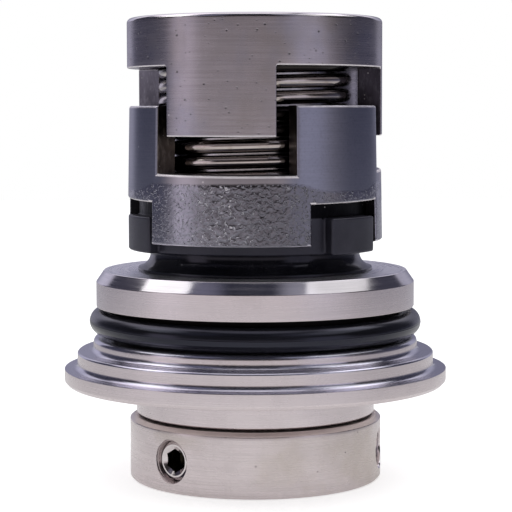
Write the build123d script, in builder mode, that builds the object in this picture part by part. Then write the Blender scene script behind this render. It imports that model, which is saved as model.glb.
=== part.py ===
from build123d import *
import os
from math import cos, radians, sin

os.makedirs("parts", exist_ok=True)

# Cartridge mechanical seal for a vertical pump shaft, standing on its drive collar.
# Sizes in millimetres, angles in degrees. The shaft axis is Z, the collar rests on z = 0,
# and angles run anticlockwise from +X, so that the front of the seal is at -90.

# Shaft and clearances
shaft_d = 22.0
bore_play = 0.05
running_play = 0.05
push_fit = 0.02
free_play = 0.3
ring_ease = 0.02

# Shaft sleeve and its ring
sleeve_wall = 1.65
sleeve_lift = 0.3
sleeve_head_wall = 3.75
sleeve_head_h = 3.8
sleeve_edge = 0.3
shaft_ring_d = 2.0
shaft_ring_side_play = 0.2

# Drive collar, snap ring and set screws
collar_wall = 7.2
collar_h = 10.0
collar_bevel_h = 0.55
collar_bevel_w = 0.8
collar_foot_edge = 0.35
land_h = 0.3
snap_ring_t = 1.0
snap_ring_w = 2.0
snap_ring_bite = 0.6
snap_ring_lift = 0.5
snap_ring_gap_deg = 30.0
snap_ring_gap_centre_deg = 60.0
screw_count = 3
screw_first_deg = -130.3
screw_z = 4.9
screw_d = 6.0
screw_sink = 0.8
screw_mouth_d = 6.8
screw_point_d = 4.0
screw_point_l = 1.7
screw_point_play = 0.4
screw_backed_off = 0.2
screw_edge = 0.5
hex_af = 3.0
hex_depth = 3.2

# Guide bush
bush_wall = 2.05
bush_edge = 0.3

# Gland plate and its ring
boss_wall = 4.06
boss_h = 4.76
boss_edge = 0.25
flange_w = 2.05
flange_t = 2.45
flange_bevel_h = 0.58
flange_bevel_w = 0.54
step_two_w = 2.55
step_two_h = 2.7
step_two_edge = 0.25
step_one_w = 0.5
step_one_h = 1.44
step_fillet = 0.95
fillet_share = 0.66
shoulder_r = 0.8
pilot_h = 3.9
plate_chamfer_h = 1.78
plate_chamfer_w = 1.25
plate_web_t = 4.0
pocket_depth = 8.94
pocket_wall = 4.2
gland_ring_d = 3.8
gland_ring_proud = 1.1
gland_groove_play = 1.0

# Stationary seat, its ring and its pin
seat_play = 0.7
seat_wall = 2.1
seat_ring_d = 2.7
seat_foot_h = 2.5
seat_foot_play = 0.1
seat_ring_lift = 0.1
nose_wall = 3.1
nose_h = 3.3
nose_land_h = 0.5
lip_t = 0.45
lip_cover = 0.3
pin_d = 1.6
pin_embed = 3.0
pin_reach = 1.8
pin_play = 0.15
pin_deg = 45.0

# Rotating face and its ring
face_wall = 3.1
face_h = 8.71
face_ring_d = 2.35
face_ring_side_play = 0.3
face_edge = 0.25
lug_h = 5.5
lug_deg = 31.2
lug_centre_deg = -39.1

# Face holder
skirt_play = 0.1
skirt_wall = 1.8
holder_draft = 0.42
lug_inset = 0.15
face_proud = 1.45
skirt_notch_deg = 43.3
skirt_notch_centre_deg = -43.3
skirt_notch_over = 2.6
skirt_notch_slope = 1.5
holder_web_t = 1.55
holder_rim_h = 2.27
holder_tab_h = 9.83
holder_notch_deg = 66.3
holder_notch_centre_deg = -104.8
holder_notch_slope = 1.7
holder_edge = 0.3

# Coil spring
wire_d = 2.1
spring_play = 0.4
spring_l = 19.5
spring_pitch = 2.37
spring_ground = 0.5
spring_start_deg = 150.0
pocket_play = 1.1

# Drive cup
cup_wall = 3.7
cup_lip_t = 2.2
cup_rim_h = 0.2
cup_band_drop = 1.54
cup_tab_h = 10.5
cup_tab_deg = 50.6
cup_tab_centre_deg = -106.0
cup_edge = 0.4
tab_count = 3

# Radii, from the shaft outwards
bore_r = shaft_d / 2 + bore_play
sleeve_r = bore_r + sleeve_wall
sleeve_head_r = bore_r + sleeve_head_wall
on_sleeve_r = sleeve_r + push_fit
collar_r = sleeve_r + collar_wall
bush_in_r = sleeve_r + running_play
bush_r = bush_in_r + bush_wall
boss_r = bush_r + boss_wall
seat_in_r = sleeve_r + seat_play
seat_stem_r = seat_in_r + seat_wall
pocket_r = seat_stem_r + seat_ring_d
nose_r = seat_in_r + nose_wall
lip_r = pocket_r + lip_cover
groove_r = pocket_r + pocket_wall
pilot_r = groove_r + gland_ring_d - gland_ring_proud
step_one_r = pilot_r + step_one_w
step_two_r = step_one_r + step_two_w
flange_r = step_two_r + flange_w
face_ring_in_r = sleeve_r + running_play
face_ring_out_r = face_ring_in_r + face_ring_d
face_r = face_ring_out_r + face_wall
skirt_in_r = face_r + skirt_play
holder_r = skirt_in_r + skirt_wall
holder_top_r = holder_r - holder_draft
lug_r = holder_r - lug_inset
spring_in_r = sleeve_r + spring_play
spring_pocket_r = spring_in_r + wire_d + pocket_play
cup_r = spring_pocket_r + cup_wall

# Heights, from the collar upwards
gland_z = collar_h + land_h
flange_z = gland_z + boss_h
flange_top_z = flange_z + flange_t
step_two_top_z = flange_top_z + step_two_h
step_one_top_z = step_two_top_z + step_one_h
groove_z = step_one_top_z + shoulder_r
pilot_z = groove_z + gland_ring_d + gland_groove_play
plate_chamfer_z = pilot_z + pilot_h
plate_top_z = plate_chamfer_z + plate_chamfer_h
pocket_z = plate_top_z - pocket_depth
bush_top_z = pocket_z - plate_web_t
seat_z = pocket_z + seat_foot_play
seat_foot_top_z = seat_z + seat_foot_h
lip_top_z = plate_top_z + lip_t
face_z = plate_top_z + nose_h
face_top_z = face_z + face_h
lug_top_z = face_z + lug_h
skirt_z = face_z + face_proud
skirt_notch_z = lug_top_z + skirt_notch_over
spring_z = face_top_z + holder_web_t
holder_notch_z = spring_z + holder_rim_h
holder_top_z = holder_notch_z + holder_tab_h
cup_ceiling_z = spring_z + spring_l
cup_lip_top_z = cup_ceiling_z + cup_lip_t
sleeve_top_z = cup_lip_top_z + sleeve_head_h
cup_top_z = sleeve_top_z + cup_rim_h
cup_band_z = cup_ceiling_z - cup_band_drop
cup_tab_z = cup_band_z - cup_tab_h
snap_ring_top_z = snap_ring_lift + snap_ring_t

# Set screw stations along the screw's own axis, and their angles round the collar
screw_r = screw_d / 2
screw_face_at = collar_r - screw_sink
screw_tip_at = shaft_d / 2 + screw_backed_off
screw_shoulder_at = screw_tip_at + screw_point_l
screw_angles = [screw_first_deg + i * 360 / screw_count for i in range(screw_count)]
over_cut = 1.0


def on_circle(radius, angle, z=0.0):
    """Point at a radius and an angle round the shaft axis."""
    return (radius * cos(radians(angle)), radius * sin(radians(angle)), z)


def sector(z_from, z_to, middle, width, inner, outer):
    """Solid ring sector about the shaft axis."""
    first, last = middle - width / 2, middle + width / 2
    with BuildPart() as block:
        with BuildSketch(Plane.XY.offset(z_from)):
            with BuildLine():
                Line(on_circle(inner, first), on_circle(outer, first))
                CenterArc((0, 0), outer, first, width)
                Line(on_circle(outer, last), on_circle(inner, last))
                CenterArc((0, 0), inner, first, width)
            make_face()
        extrude(amount=z_to - z_from)
    return block.part


def sloped_sector(block, z_at, middle, slope, keep):
    """Part of a sector above or below a floor that climbs with the angle."""
    tilt, turn = radians(slope), radians(middle)
    floor = Plane(origin=(0, 0, z_at), z_dir=(sin(turn) * sin(tilt), -cos(turn) * sin(tilt), cos(tilt)))
    with BuildPart() as cutter:
        add(block)
        split(bisect_by=floor, keep=keep)
    return cutter.part


def radial_plane(angle, along):
    """Plane across a set screw's axis, at a distance from the shaft axis."""
    return Plane(origin=on_circle(along, angle, screw_z), z_dir=on_circle(1, angle))


def o_ring(section, inner_r, z):
    """Round ring that touches its inner and outer seats, about the shaft axis."""
    with BuildPart() as ring:
        with BuildSketch(Plane.XZ):
            with Locations((inner_r + section / 2, z)):
                Circle(section / 2 - ring_ease)
        revolve(axis=Axis.Z)
    return ring


def save(piece, label):
    """Label a finished piece and write its file."""
    piece.part.label = label
    export_step(piece.part, f"parts/{label}.step")


# Shaft sleeve: a thin tube whose thick head sits in the drive cup
shaft_groove_h = shaft_ring_d + 2 * shaft_ring_side_play
shaft_groove_z = cup_lip_top_z + sleeve_head_h / 2
with BuildPart() as shaft_sleeve:
    with BuildSketch(Plane.XZ):
        with BuildLine():
            Polyline(
                (bore_r, sleeve_lift),
                (sleeve_r, sleeve_lift),
                (sleeve_r, cup_lip_top_z),
                (sleeve_head_r, cup_lip_top_z),
                (sleeve_head_r, sleeve_top_z - sleeve_edge),
                (sleeve_head_r - sleeve_edge, sleeve_top_z),
                (bore_r, sleeve_top_z),
                close=True,
            )
        make_face()
        with Locations((bore_r, shaft_groove_z)):
            Rectangle(2 * shaft_ring_d, shaft_groove_h, mode=Mode.SUBTRACT)
        with Locations((sleeve_r, snap_ring_lift + snap_ring_t / 2)):
            Rectangle(2 * snap_ring_bite, snap_ring_t, mode=Mode.SUBTRACT)
    revolve(axis=Axis.Z)
    for angle in screw_angles:
        with BuildSketch(radial_plane(angle, 0)):
            Circle(screw_point_d / 2 + screw_point_play)
        extrude(amount=collar_r, mode=Mode.SUBTRACT)
save(shaft_sleeve, "shaft_sleeve")

# Shaft ring, squeezed flush with the bore
save(o_ring(shaft_ring_d, bore_r, shaft_groove_z), "shaft_o_ring")

# Snap ring: an open flat ring that holds the collar on the sleeve
snap_in_r = sleeve_r - snap_ring_bite + push_fit
snap_out_r = snap_in_r + snap_ring_w
snap_gap = sector(0, snap_ring_top_z + over_cut, snap_ring_gap_centre_deg, snap_ring_gap_deg,
                  snap_in_r - over_cut, snap_out_r + over_cut)
with BuildPart() as snap_ring:
    with BuildSketch(Plane.XY.offset(snap_ring_lift)):
        Circle(snap_out_r)
        Circle(snap_in_r, mode=Mode.SUBTRACT)
    extrude(amount=snap_ring_t)
    add(snap_gap, mode=Mode.SUBTRACT)
save(snap_ring, "snap_ring")

# Drive collar: land under the guide bush, recess for the snap ring, three tapped holes
recess_r = snap_out_r + free_play
with BuildPart() as drive_collar:
    with BuildSketch(Plane.XZ):
        with BuildLine():
            Polyline(
                (on_sleeve_r, snap_ring_top_z),
                (recess_r, snap_ring_top_z),
                (recess_r, 0),
                (collar_r - collar_foot_edge, 0),
                (collar_r, collar_foot_edge),
                (collar_r, collar_h - collar_bevel_h),
                (collar_r - collar_bevel_w, collar_h),
                (bush_r, collar_h),
                (bush_r, gland_z),
                (on_sleeve_r, gland_z),
                close=True,
            )
        make_face()
    revolve(axis=Axis.Z)
    for angle in screw_angles:
        with Locations(radial_plane(angle, collar_r)):
            CounterSinkHole(screw_r + running_play, screw_mouth_d / 2, depth=collar_wall + over_cut)
save(drive_collar, "drive_collar")

# Set screws: dog point inwards, hex socket outwards, backed off just clear of the shaft
for number, angle in enumerate(screw_angles, start=1):
    with BuildPart() as set_screw:
        with BuildSketch(radial_plane(angle, screw_tip_at)):
            Circle(screw_point_d / 2)
        extrude(amount=screw_point_l)
        with BuildSketch(radial_plane(angle, screw_shoulder_at)):
            Circle(screw_r)
        extrude(amount=screw_face_at - screw_shoulder_at)
        rims = set_screw.edges().filter_by(GeomType.CIRCLE).filter_by(
            lambda edge: edge.radius > screw_point_d / 2)
        chamfer(rims, screw_edge)
        with BuildSketch(radial_plane(angle, screw_face_at)):
            RegularPolygon(hex_af / 2, 6, major_radius=False)
        extrude(amount=-hex_depth, mode=Mode.SUBTRACT)
    save(set_screw, f"set_screw_{number}")

# Guide bush: centres the gland plate on the sleeve and rests on the collar's land
with BuildPart() as guide_bush:
    with BuildSketch(Plane.XZ):
        with BuildLine():
            Polyline(
                (bush_in_r, gland_z),
                (bush_r, gland_z),
                (bush_r, bush_top_z - bush_edge),
                (bush_r - bush_edge, bush_top_z),
                (bush_in_r, bush_top_z),
                close=True,
            )
        make_face()
    revolve(axis=Axis.Z)
save(guide_bush, "guide_bush")

# Gland plate: boss, stepped flange, ring groove, pilot and the pocket for the seat
step_one_fillet = min(step_fillet, fillet_share * step_one_h)
step_two_fillet = min(step_fillet, fillet_share * step_two_h, fillet_share * flange_w)
pin_at_r = (seat_stem_r + pocket_r) / 2
with BuildPart() as gland_plate:
    with BuildSketch(Plane.XZ):
        with BuildLine():
            Polyline(
                (step_two_r + step_two_fillet, flange_top_z),
                (flange_r, flange_top_z),
                (flange_r, flange_z + flange_bevel_h),
                (flange_r - flange_bevel_w, flange_z),
                (boss_r, flange_z),
                (boss_r, gland_z + boss_edge),
                (boss_r - boss_edge, gland_z),
                (bush_r + push_fit, gland_z),
                (bush_r + push_fit, bush_top_z),
                (seat_in_r, bush_top_z),
                (seat_in_r, pocket_z),
                (pocket_r, pocket_z),
                (pocket_r, plate_top_z),
                (pilot_r - plate_chamfer_w, plate_top_z),
                (pilot_r, plate_chamfer_z),
                (pilot_r, pilot_z),
                (groove_r, pilot_z),
                (groove_r, groove_z),
                (step_one_r - shoulder_r, groove_z),
            )
            CenterArc((step_one_r - shoulder_r, step_one_top_z), shoulder_r, 0, 90)
            Line((step_one_r, step_one_top_z), (step_one_r, step_two_top_z + step_one_fillet))
            RadiusArc(
                (step_one_r, step_two_top_z + step_one_fillet),
                (step_one_r + step_one_fillet, step_two_top_z),
                step_one_fillet,
            )
            Polyline(
                (step_one_r + step_one_fillet, step_two_top_z),
                (step_two_r - step_two_edge, step_two_top_z),
                (step_two_r, step_two_top_z - step_two_edge),
                (step_two_r, flange_top_z + step_two_fillet),
            )
            RadiusArc(
                (step_two_r, flange_top_z + step_two_fillet),
                (step_two_r + step_two_fillet, flange_top_z),
                step_two_fillet,
            )
        make_face()
    revolve(axis=Axis.Z)
    with Locations(on_circle(pin_at_r, pin_deg, pocket_z)):
        Hole(pin_d / 2 + push_fit, depth=pin_embed)
save(gland_plate, "gland_plate")

# Gland ring in its groove
gland_ring_z = (groove_z + pilot_z) / 2
save(o_ring(gland_ring_d, groove_r, gland_ring_z), "gland_o_ring")

# Pin that keeps the seat from turning in the gland plate
with BuildPart() as anti_rotation_pin:
    with BuildSketch(Plane.XY.offset(pocket_z - pin_embed)):
        with Locations(on_circle(pin_at_r, pin_deg)):
            Circle(pin_d / 2)
    extrude(amount=pin_embed + pin_reach)
save(anti_rotation_pin, "anti_rotation_pin")

# Stationary seat: foot and stem in the pocket, lip over its edge, flared nose above
foot_r = pocket_r - seat_foot_play
pin_slot_w = pin_d + 2 * pin_play
with BuildPart() as stationary_seat:
    with BuildSketch(Plane.XZ):
        with BuildLine():
            Polyline(
                (nose_r, face_z - nose_land_h),
                (nose_r, face_z),
                (seat_in_r, face_z),
                (seat_in_r, seat_z),
                (foot_r, seat_z),
                (foot_r, seat_foot_top_z),
                (seat_stem_r, seat_foot_top_z),
                (seat_stem_r, plate_top_z),
                (lip_r, plate_top_z),
                (lip_r, lip_top_z),
            )
            TangentArc((nose_r, face_z - nose_land_h), (lip_r, lip_top_z), tangent=(0, -1))
        make_face()
    revolve(axis=Axis.Z)
    with Locations(Plane(origin=(0, 0, pocket_z), x_dir=on_circle(1, pin_deg), z_dir=(0, 0, 1))):
        with Locations((pin_at_r - pin_slot_w / 2, 0)):
            Box(pocket_r, pin_slot_w, pin_reach + pin_play,
                align=(Align.MIN, Align.CENTER, Align.MIN), mode=Mode.SUBTRACT)
save(stationary_seat, "stationary_seat")

# Seat ring between the stem and the pocket wall
seat_ring_z = seat_foot_top_z + seat_ring_lift + seat_ring_d / 2
save(o_ring(seat_ring_d, seat_stem_r, seat_ring_z), "seat_o_ring")

# Rotating face: running surface below, ring pocket above, lugs in the holder's skirt
face_pocket_h = face_ring_d + face_ring_side_play
with BuildPart() as rotating_face:
    with BuildSketch(Plane.XZ):
        with BuildLine():
            Polyline(
                (sleeve_r + free_play, face_z),
                (face_r - face_edge, face_z),
                (face_r, face_z + face_edge),
                (face_r, face_top_z),
                (face_ring_out_r, face_top_z),
                (face_ring_out_r, face_top_z - face_pocket_h),
                (sleeve_r + free_play, face_top_z - face_pocket_h),
                close=True,
            )
        make_face()
    revolve(axis=Axis.Z)
    for i in range(tab_count):
        add(sector(face_z, lug_top_z, lug_centre_deg + i * 360 / tab_count, lug_deg,
                   face_r - face_wall / 2, lug_r))
save(rotating_face, "rotating_face")

# Ring that seals the rotating face on the sleeve
face_ring_z = face_top_z - face_pocket_h / 2
save(o_ring(face_ring_d, face_ring_in_r, face_ring_z), "face_o_ring")

# Face holder: notched skirt round the face, web under the spring, tabs between the cup's tabs
skirt_cut = sloped_sector(
    sector(skirt_z - over_cut, skirt_notch_z + over_cut, skirt_notch_centre_deg, skirt_notch_deg,
           skirt_in_r - over_cut, holder_r + over_cut),
    skirt_notch_z, skirt_notch_centre_deg, skirt_notch_slope, Keep.BOTTOM)
rim_cut = sloped_sector(
    sector(holder_notch_z - over_cut, holder_top_z + over_cut, holder_notch_centre_deg, holder_notch_deg,
           spring_pocket_r - over_cut, holder_r + over_cut),
    holder_notch_z, holder_notch_centre_deg, holder_notch_slope, Keep.TOP)
with BuildPart() as face_holder:
    with BuildSketch(Plane.XZ):
        with BuildLine():
            Polyline(
                (skirt_in_r, skirt_z),
                (holder_r - holder_edge, skirt_z),
                (holder_r, skirt_z + holder_edge),
                (holder_top_r, holder_top_z - holder_edge),
                (holder_top_r - holder_edge, holder_top_z),
                (spring_pocket_r, holder_top_z),
                (spring_pocket_r, spring_z),
                (sleeve_r + free_play, spring_z),
                (sleeve_r + free_play, face_top_z),
                (skirt_in_r, face_top_z),
                close=True,
            )
        make_face()
    revolve(axis=Axis.Z)
    with PolarLocations(0, tab_count):
        add(skirt_cut, mode=Mode.SUBTRACT)
        add(rim_cut, mode=Mode.SUBTRACT)
save(face_holder, "face_holder")

# Coil spring: one even helix, its two ends ground flat
spring_from_z = spring_z + wire_d / 2 - spring_ground
helix_h = spring_l - wire_d + 2 * spring_ground
wire_path = Helix(spring_pitch, helix_h, spring_in_r + wire_d / 2, center=(0, 0, spring_from_z))
wire_path = wire_path.rotate(Axis.Z, spring_start_deg)
with BuildPart() as spring:
    with BuildLine():
        add(wire_path)
    with BuildSketch(Plane(origin=wire_path @ 0, z_dir=wire_path % 0)):
        Circle(wire_d / 2)
    sweep(is_frenet=True)
    split(bisect_by=Plane.XY.offset(spring_z), keep=Keep.TOP)
    split(bisect_by=Plane.XY.offset(cup_ceiling_z), keep=Keep.BOTTOM)
save(spring, "spring")

# Drive cup: end wall round the sleeve's head, band, and tabs that reach down into the holder
window_deg = 360 / tab_count - cup_tab_deg
window_cut = sector(cup_tab_z - over_cut, cup_band_z, cup_tab_centre_deg + 180 / tab_count, window_deg,
                    spring_pocket_r - over_cut, cup_r + over_cut)
with BuildPart() as drive_cup:
    with BuildSketch(Plane.XZ):
        with BuildLine():
            Polyline(
                (spring_pocket_r, cup_tab_z),
                (cup_r, cup_tab_z),
                (cup_r, cup_top_z - cup_edge),
                (cup_r - cup_edge, cup_top_z),
                (sleeve_head_r + push_fit, cup_top_z),
                (sleeve_head_r + push_fit, cup_lip_top_z),
                (on_sleeve_r, cup_lip_top_z),
                (on_sleeve_r, cup_ceiling_z),
                (spring_pocket_r, cup_ceiling_z),
                close=True,
            )
        make_face()
    revolve(axis=Axis.Z)
    with PolarLocations(0, tab_count):
        add(window_cut, mode=Mode.SUBTRACT)
save(drive_cup, "drive_cup")
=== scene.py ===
"""Visual model of a cartridge mechanical seal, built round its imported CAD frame.

Sizes are millimetres and degrees until they reach a mesh. Angles run anticlockwise from +X
about the shaft axis, which is Z, so the front of the seal is at -90.
"""
import logging
from dataclasses import dataclass
from enum import Enum
from functools import cache
from math import atan2, cos, degrees, pi, radians, sin, sqrt
from typing import Callable, Sequence

import bmesh
import bpy
from mathutils import Matrix, Vector


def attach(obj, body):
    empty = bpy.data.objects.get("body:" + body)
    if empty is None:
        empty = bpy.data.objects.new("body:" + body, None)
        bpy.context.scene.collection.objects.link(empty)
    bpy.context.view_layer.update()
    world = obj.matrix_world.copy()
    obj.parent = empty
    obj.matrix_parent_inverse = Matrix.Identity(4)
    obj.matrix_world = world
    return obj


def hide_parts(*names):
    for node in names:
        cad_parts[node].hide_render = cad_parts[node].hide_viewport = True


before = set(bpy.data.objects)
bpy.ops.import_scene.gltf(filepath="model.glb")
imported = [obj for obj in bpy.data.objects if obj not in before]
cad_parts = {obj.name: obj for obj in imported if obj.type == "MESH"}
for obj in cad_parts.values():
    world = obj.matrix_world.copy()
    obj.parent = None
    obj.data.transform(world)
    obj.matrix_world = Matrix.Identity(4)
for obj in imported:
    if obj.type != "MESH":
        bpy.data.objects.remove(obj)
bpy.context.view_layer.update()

MM = 0.001
WELD = 2e-6
SHARP = 32.0
CREASE = 40.0
NEAR = 0.01
MARGIN = 0.05
LEVEL = 0.9
FLANK = 0.8
FULL_TURN = 360.0
TAB_COUNT = 3
PITCH_DEG = FULL_TURN / TAB_COUNT
MIDDLE = (0.0, 0.0, 0.0)
UP = (0.0, 0.0, 1.0)

Point = tuple[float, float]
Colour = tuple[float, float, float]
Socket = bpy.types.NodeSocket
Solid = bpy.types.Object
FaceTest = Callable[[Vector, Vector], bool]

log = logging.getLogger("seal")


class Carrier(Enum):
    """CAD bodies that the pieces ride on."""

    DRIVE = "drive"
    HEAD = "head"
    GLAND = "gland"
    SCREW_1 = "screw_1"
    SCREW_2 = "screw_2"
    SCREW_3 = "screw_3"


class Slot(Enum):
    """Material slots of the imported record."""

    CUP = "cup_steel"
    HOLDER = "holder_steel"
    PLATE = "plate_steel"
    COLLAR = "collar_steel"
    SLEEVE = "sleeve_steel"
    SPRING = "spring_steel"
    SCREW = "screw_steel"
    FACE = "face_carbide"
    SEAT = "seat_carbide"
    RUBBER = "ring_rubber"
    BUSH = "bush_ptfe"


@dataclass(frozen=True)
class Span:
    """Part of a turn, and how many faces it is divided into."""

    width: float
    steps: int


@dataclass(frozen=True)
class Spindle:
    """Line that a profile is turned about, with the direction its radius is drawn in."""

    origin: Sequence[float] = MIDDLE
    along: Sequence[float] = UP
    across: Sequence[float] = (1.0, 0.0, 0.0)

    def place(self, point: Point) -> Vector:
        """Point of a profile, (radius, distance along), in metres in the row frame."""
        radius, along = point
        return (Vector(self.origin) + Vector(self.across) * radius + Vector(self.along) * along) * MM


def outwards(angle: float) -> Vector:
    """Direction away from the shaft at an angle."""
    return Vector((cos(radians(angle)), sin(radians(angle)), 0.0))


def on_shaft(angle: float) -> Spindle:
    """Spindle on the shaft axis whose profile is drawn at an angle."""
    return Spindle(across=outwards(angle))


def radial(angle: float, height: float) -> Spindle:
    """Spindle that points outwards from the shaft axis at an angle and a height."""
    return Spindle((0.0, 0.0, height), outwards(angle), UP)


WHOLE = (Span(FULL_TURN, 180),)
FINE = (Span(FULL_TURN, 216),)


def arc(centre: Point, radius: float, first: float, last: float, steps: int) -> list[Point]:
    """Points on an arc of a profile.

    Args:
        centre: Radius and height of the arc's centre.
        radius: The arc's own radius.
        first: Angle of the first point, from outwards towards up.
        last: Angle of the last point.
        steps: How many parts the arc has.

    Returns:
        Points from the first angle to the last, both included.
    """
    turns = [radians(first + (last - first) * i / steps) for i in range(steps + 1)]
    return [(centre[0] + radius * cos(t), centre[1] + radius * sin(t)) for t in turns]


def run(start: Point, end: Point, steps: int) -> list[Point]:
    """Points on a straight run of a profile, both ends included."""
    shares = [i / steps for i in range(steps + 1)]
    return [(start[0] + (end[0] - start[0]) * t, start[1] + (end[1] - start[1]) * t) for t in shares]


def shaded(tint: Colour, share: float) -> Colour:
    """Colour made darker or lighter by a share, up to white."""
    return tuple(min(1.0, channel * share) for channel in tint)


def tinted(tint: Colour, other: Colour) -> Colour:
    """Colour seen through another."""
    return tuple(channel * share for channel, share in zip(tint, other))


def clear_selection() -> None:
    """Leave edit mode and deselect every object, the CAD nodes included."""
    if bpy.context.object and bpy.context.object.mode != "OBJECT":
        bpy.ops.object.mode_set(mode="OBJECT")
    bpy.ops.object.select_all(action="DESELECT")


def pick(piece: Solid) -> None:
    """Make one piece the only selected and active object."""
    clear_selection()
    piece.select_set(True)
    bpy.context.view_layer.objects.active = piece


def open_mesh(piece: Solid, kind: str = "VERT", action: str = "SELECT") -> None:
    """Open a piece in edit mode with all of it selected, or with action DESELECT nothing."""
    pick(piece)
    bpy.ops.object.mode_set(mode="EDIT")
    bpy.ops.mesh.select_mode(type=kind)
    bpy.ops.mesh.select_all(action=action)


def close_mesh() -> None:
    """Go back to object mode."""
    bpy.ops.object.mode_set(mode="OBJECT")


def weld() -> None:
    """Merge the open mesh's doubled points and turn its faces outwards."""
    bpy.ops.mesh.select_all(action="SELECT")
    bpy.ops.mesh.remove_doubles(threshold=WELD)
    bpy.ops.mesh.normals_make_consistent(inside=False)


def name_piece(piece: Solid, name: str) -> Solid:
    """Give an object and its mesh one name, and return the object."""
    piece.name = name
    piece.data.name = name
    return piece


def turn(name: str, profile: Sequence[Point], spans: Sequence[Span] = WHOLE,
         spindle: Spindle = Spindle(), closed: bool = True, capped: bool = False) -> Solid:
    """Turn a profile about a spindle, as on a lathe.

    Args:
        name: The piece's name.
        profile: Points (radius, distance along the spindle) in order.
        spans: Parts of the turn, run anticlockwise from the profile's place.
        spindle: The line turned about.
        closed: Whether the profile's last point joins its first.
        capped: Whether an open turn gets flat ends.

    Returns:
        The finished mesh object, with its origin at the row frame's origin.
    """
    clear_selection()
    points = list(profile) + ([profile[0]] if closed else [])
    bpy.ops.mesh.primitive_plane_add(size=MM, location=spindle.place(points[0]))
    piece = name_piece(bpy.context.active_object, name)
    open_mesh(piece)
    bpy.ops.mesh.merge(type="CENTER")
    for before, after in zip(points, points[1:]):
        move = spindle.place(after) - spindle.place(before)
        bpy.ops.mesh.extrude_region_move(TRANSFORM_OT_translate={"value": tuple(move)})
    bpy.ops.mesh.select_all(action="SELECT")
    bpy.ops.mesh.remove_doubles(threshold=WELD)
    if capped:
        bpy.ops.mesh.edge_face_add()
    centre = Vector(spindle.origin) * MM
    for span in spans:
        bpy.ops.mesh.spin(steps=span.steps, angle=-radians(span.width), center=centre, axis=spindle.along)
    weld()
    close_mesh()
    bpy.ops.object.transform_apply(location=True, rotation=True, scale=True)
    return piece


def off_shaft(spot: Vector) -> float:
    """Distance of a point from the shaft axis."""
    return Vector((spot.x, spot.y)).length


def is_level_at(spot: Vector, normal: Vector, z: float) -> bool:
    """Whether a face is level and lies at a height."""
    return abs(normal.z) > LEVEL and abs(spot.z - z) < NEAR


def in_sector(spot: Vector, middle: float, width: float) -> bool:
    """Whether a point lies in a sector round the shaft, whole turns aside."""
    off = degrees(atan2(spot.y, spot.x)) - middle
    return abs((off + FULL_TURN / 2) % FULL_TURN - FULL_TURN / 2) < width / 2


def in_any(spot: Vector, middle: float, width: float) -> bool:
    """Whether a point lies in one of the sectors that repeat round the seal."""
    return any(in_sector(spot, middle + i * PITCH_DEG, width) for i in range(TAB_COUNT))


def select_faces(piece: Solid, test: FaceTest) -> int:
    """Open a piece in edit mode with only the faces that pass a test selected.

    Args:
        piece: The mesh object.
        test: Takes a face's centre in millimetres and its normal.

    Returns:
        How many faces were selected.
    """
    open_mesh(piece, "FACE", "DESELECT")
    mesh = bmesh.from_edit_mesh(piece.data)
    count = 0
    for face in mesh.faces:
        if test(face.calc_center_median() / MM, face.normal):
            face.select_set(True)
            count += 1
    bmesh.update_edit_mesh(piece.data)
    return count


def extrude_up(height: float) -> None:
    """Extrude the selected faces along the shaft axis."""
    bpy.ops.mesh.extrude_region_move(TRANSFORM_OT_translate={"value": (0.0, 0.0, height * MM)})


def swell(share: float) -> None:
    """Scale the selected faces across the shaft axis."""
    bpy.ops.transform.resize(value=(share, share, 1.0), center_override=MIDDLE)


def rotate(angle: float, axis: str = "Z", height: float = 0.0, **settings: object) -> None:
    """Rotate the selection about an axis that crosses the shaft axis at a height."""
    bpy.ops.transform.rotate(value=-radians(angle), orient_axis=axis, orient_type="GLOBAL",
                             center_override=(0.0, 0.0, height * MM), **settings)


def modify(piece: Solid, kind: str, **settings: object) -> None:
    """Add a modifier with its settings to a piece, and apply it."""
    pick(piece)
    bpy.ops.object.modifier_add(type=kind)
    modifier = piece.modifiers[-1]
    for key, value in settings.items():
        setattr(modifier, key, value)
    bpy.ops.object.modifier_apply(modifier=modifier.name)


def round_edges(piece: Solid, width: float, segments: int = 3, sharper_than: float = SHARP) -> None:
    """Round a piece's edges that are sharper than an angle."""
    modify(piece, "BEVEL", width=width * MM, segments=segments, limit_method="ANGLE",
           angle_limit=radians(sharper_than), use_clamp_overlap=True, miter_outer="MITER_ARC")


def round_rims(piece: Solid, width: float, test: Callable[[Vector], bool]) -> None:
    """Round the sharp edges whose middle passes a test, in edit mode.

    Args:
        piece: The mesh object.
        width: Width of the rounding in millimetres.
        test: Takes the middle of an edge in millimetres.
    """
    open_mesh(piece, "EDGE", "DESELECT")
    mesh = bmesh.from_edit_mesh(piece.data)
    for edge in mesh.edges:
        middle = (edge.verts[0].co + edge.verts[1].co) / (2 * MM)
        if edge.calc_face_angle(0.0) > radians(SHARP) and test(middle):
            edge.select_set(True)
    bmesh.update_edit_mesh(piece.data)
    bpy.ops.mesh.bevel(offset=width * MM, segments=3, affect="EDGES", clamp_overlap=True, miter_outer="ARC")
    close_mesh()


def cut(piece: Solid, tool: Solid) -> None:
    """Cut a tool's shape out of a piece, and throw the tool away."""
    modify(piece, "BOOLEAN", object=tool, operation="DIFFERENCE", solver="EXACT")
    bpy.data.objects.remove(tool)


def bore(piece: Solid, spindle: Spindle, side: Sequence[Point], faces: int = 64, tip: float = 0.0) -> None:
    """Cut a hole out of a piece with a tool turned about a spindle.

    Args:
        piece: The mesh object.
        spindle: The hole's axis.
        side: Profile of the hole's side, from its bottom outwards.
        faces: How many faces the side has round it.
        tip: How far the bottom's middle lies below its rim.
    """
    profile = [(0.0, side[0][1] - tip), *side, (0.0, side[-1][1])]
    cut(piece, turn("bore_tool", profile, (Span(FULL_TURN, faces),), spindle, closed=False))


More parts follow.
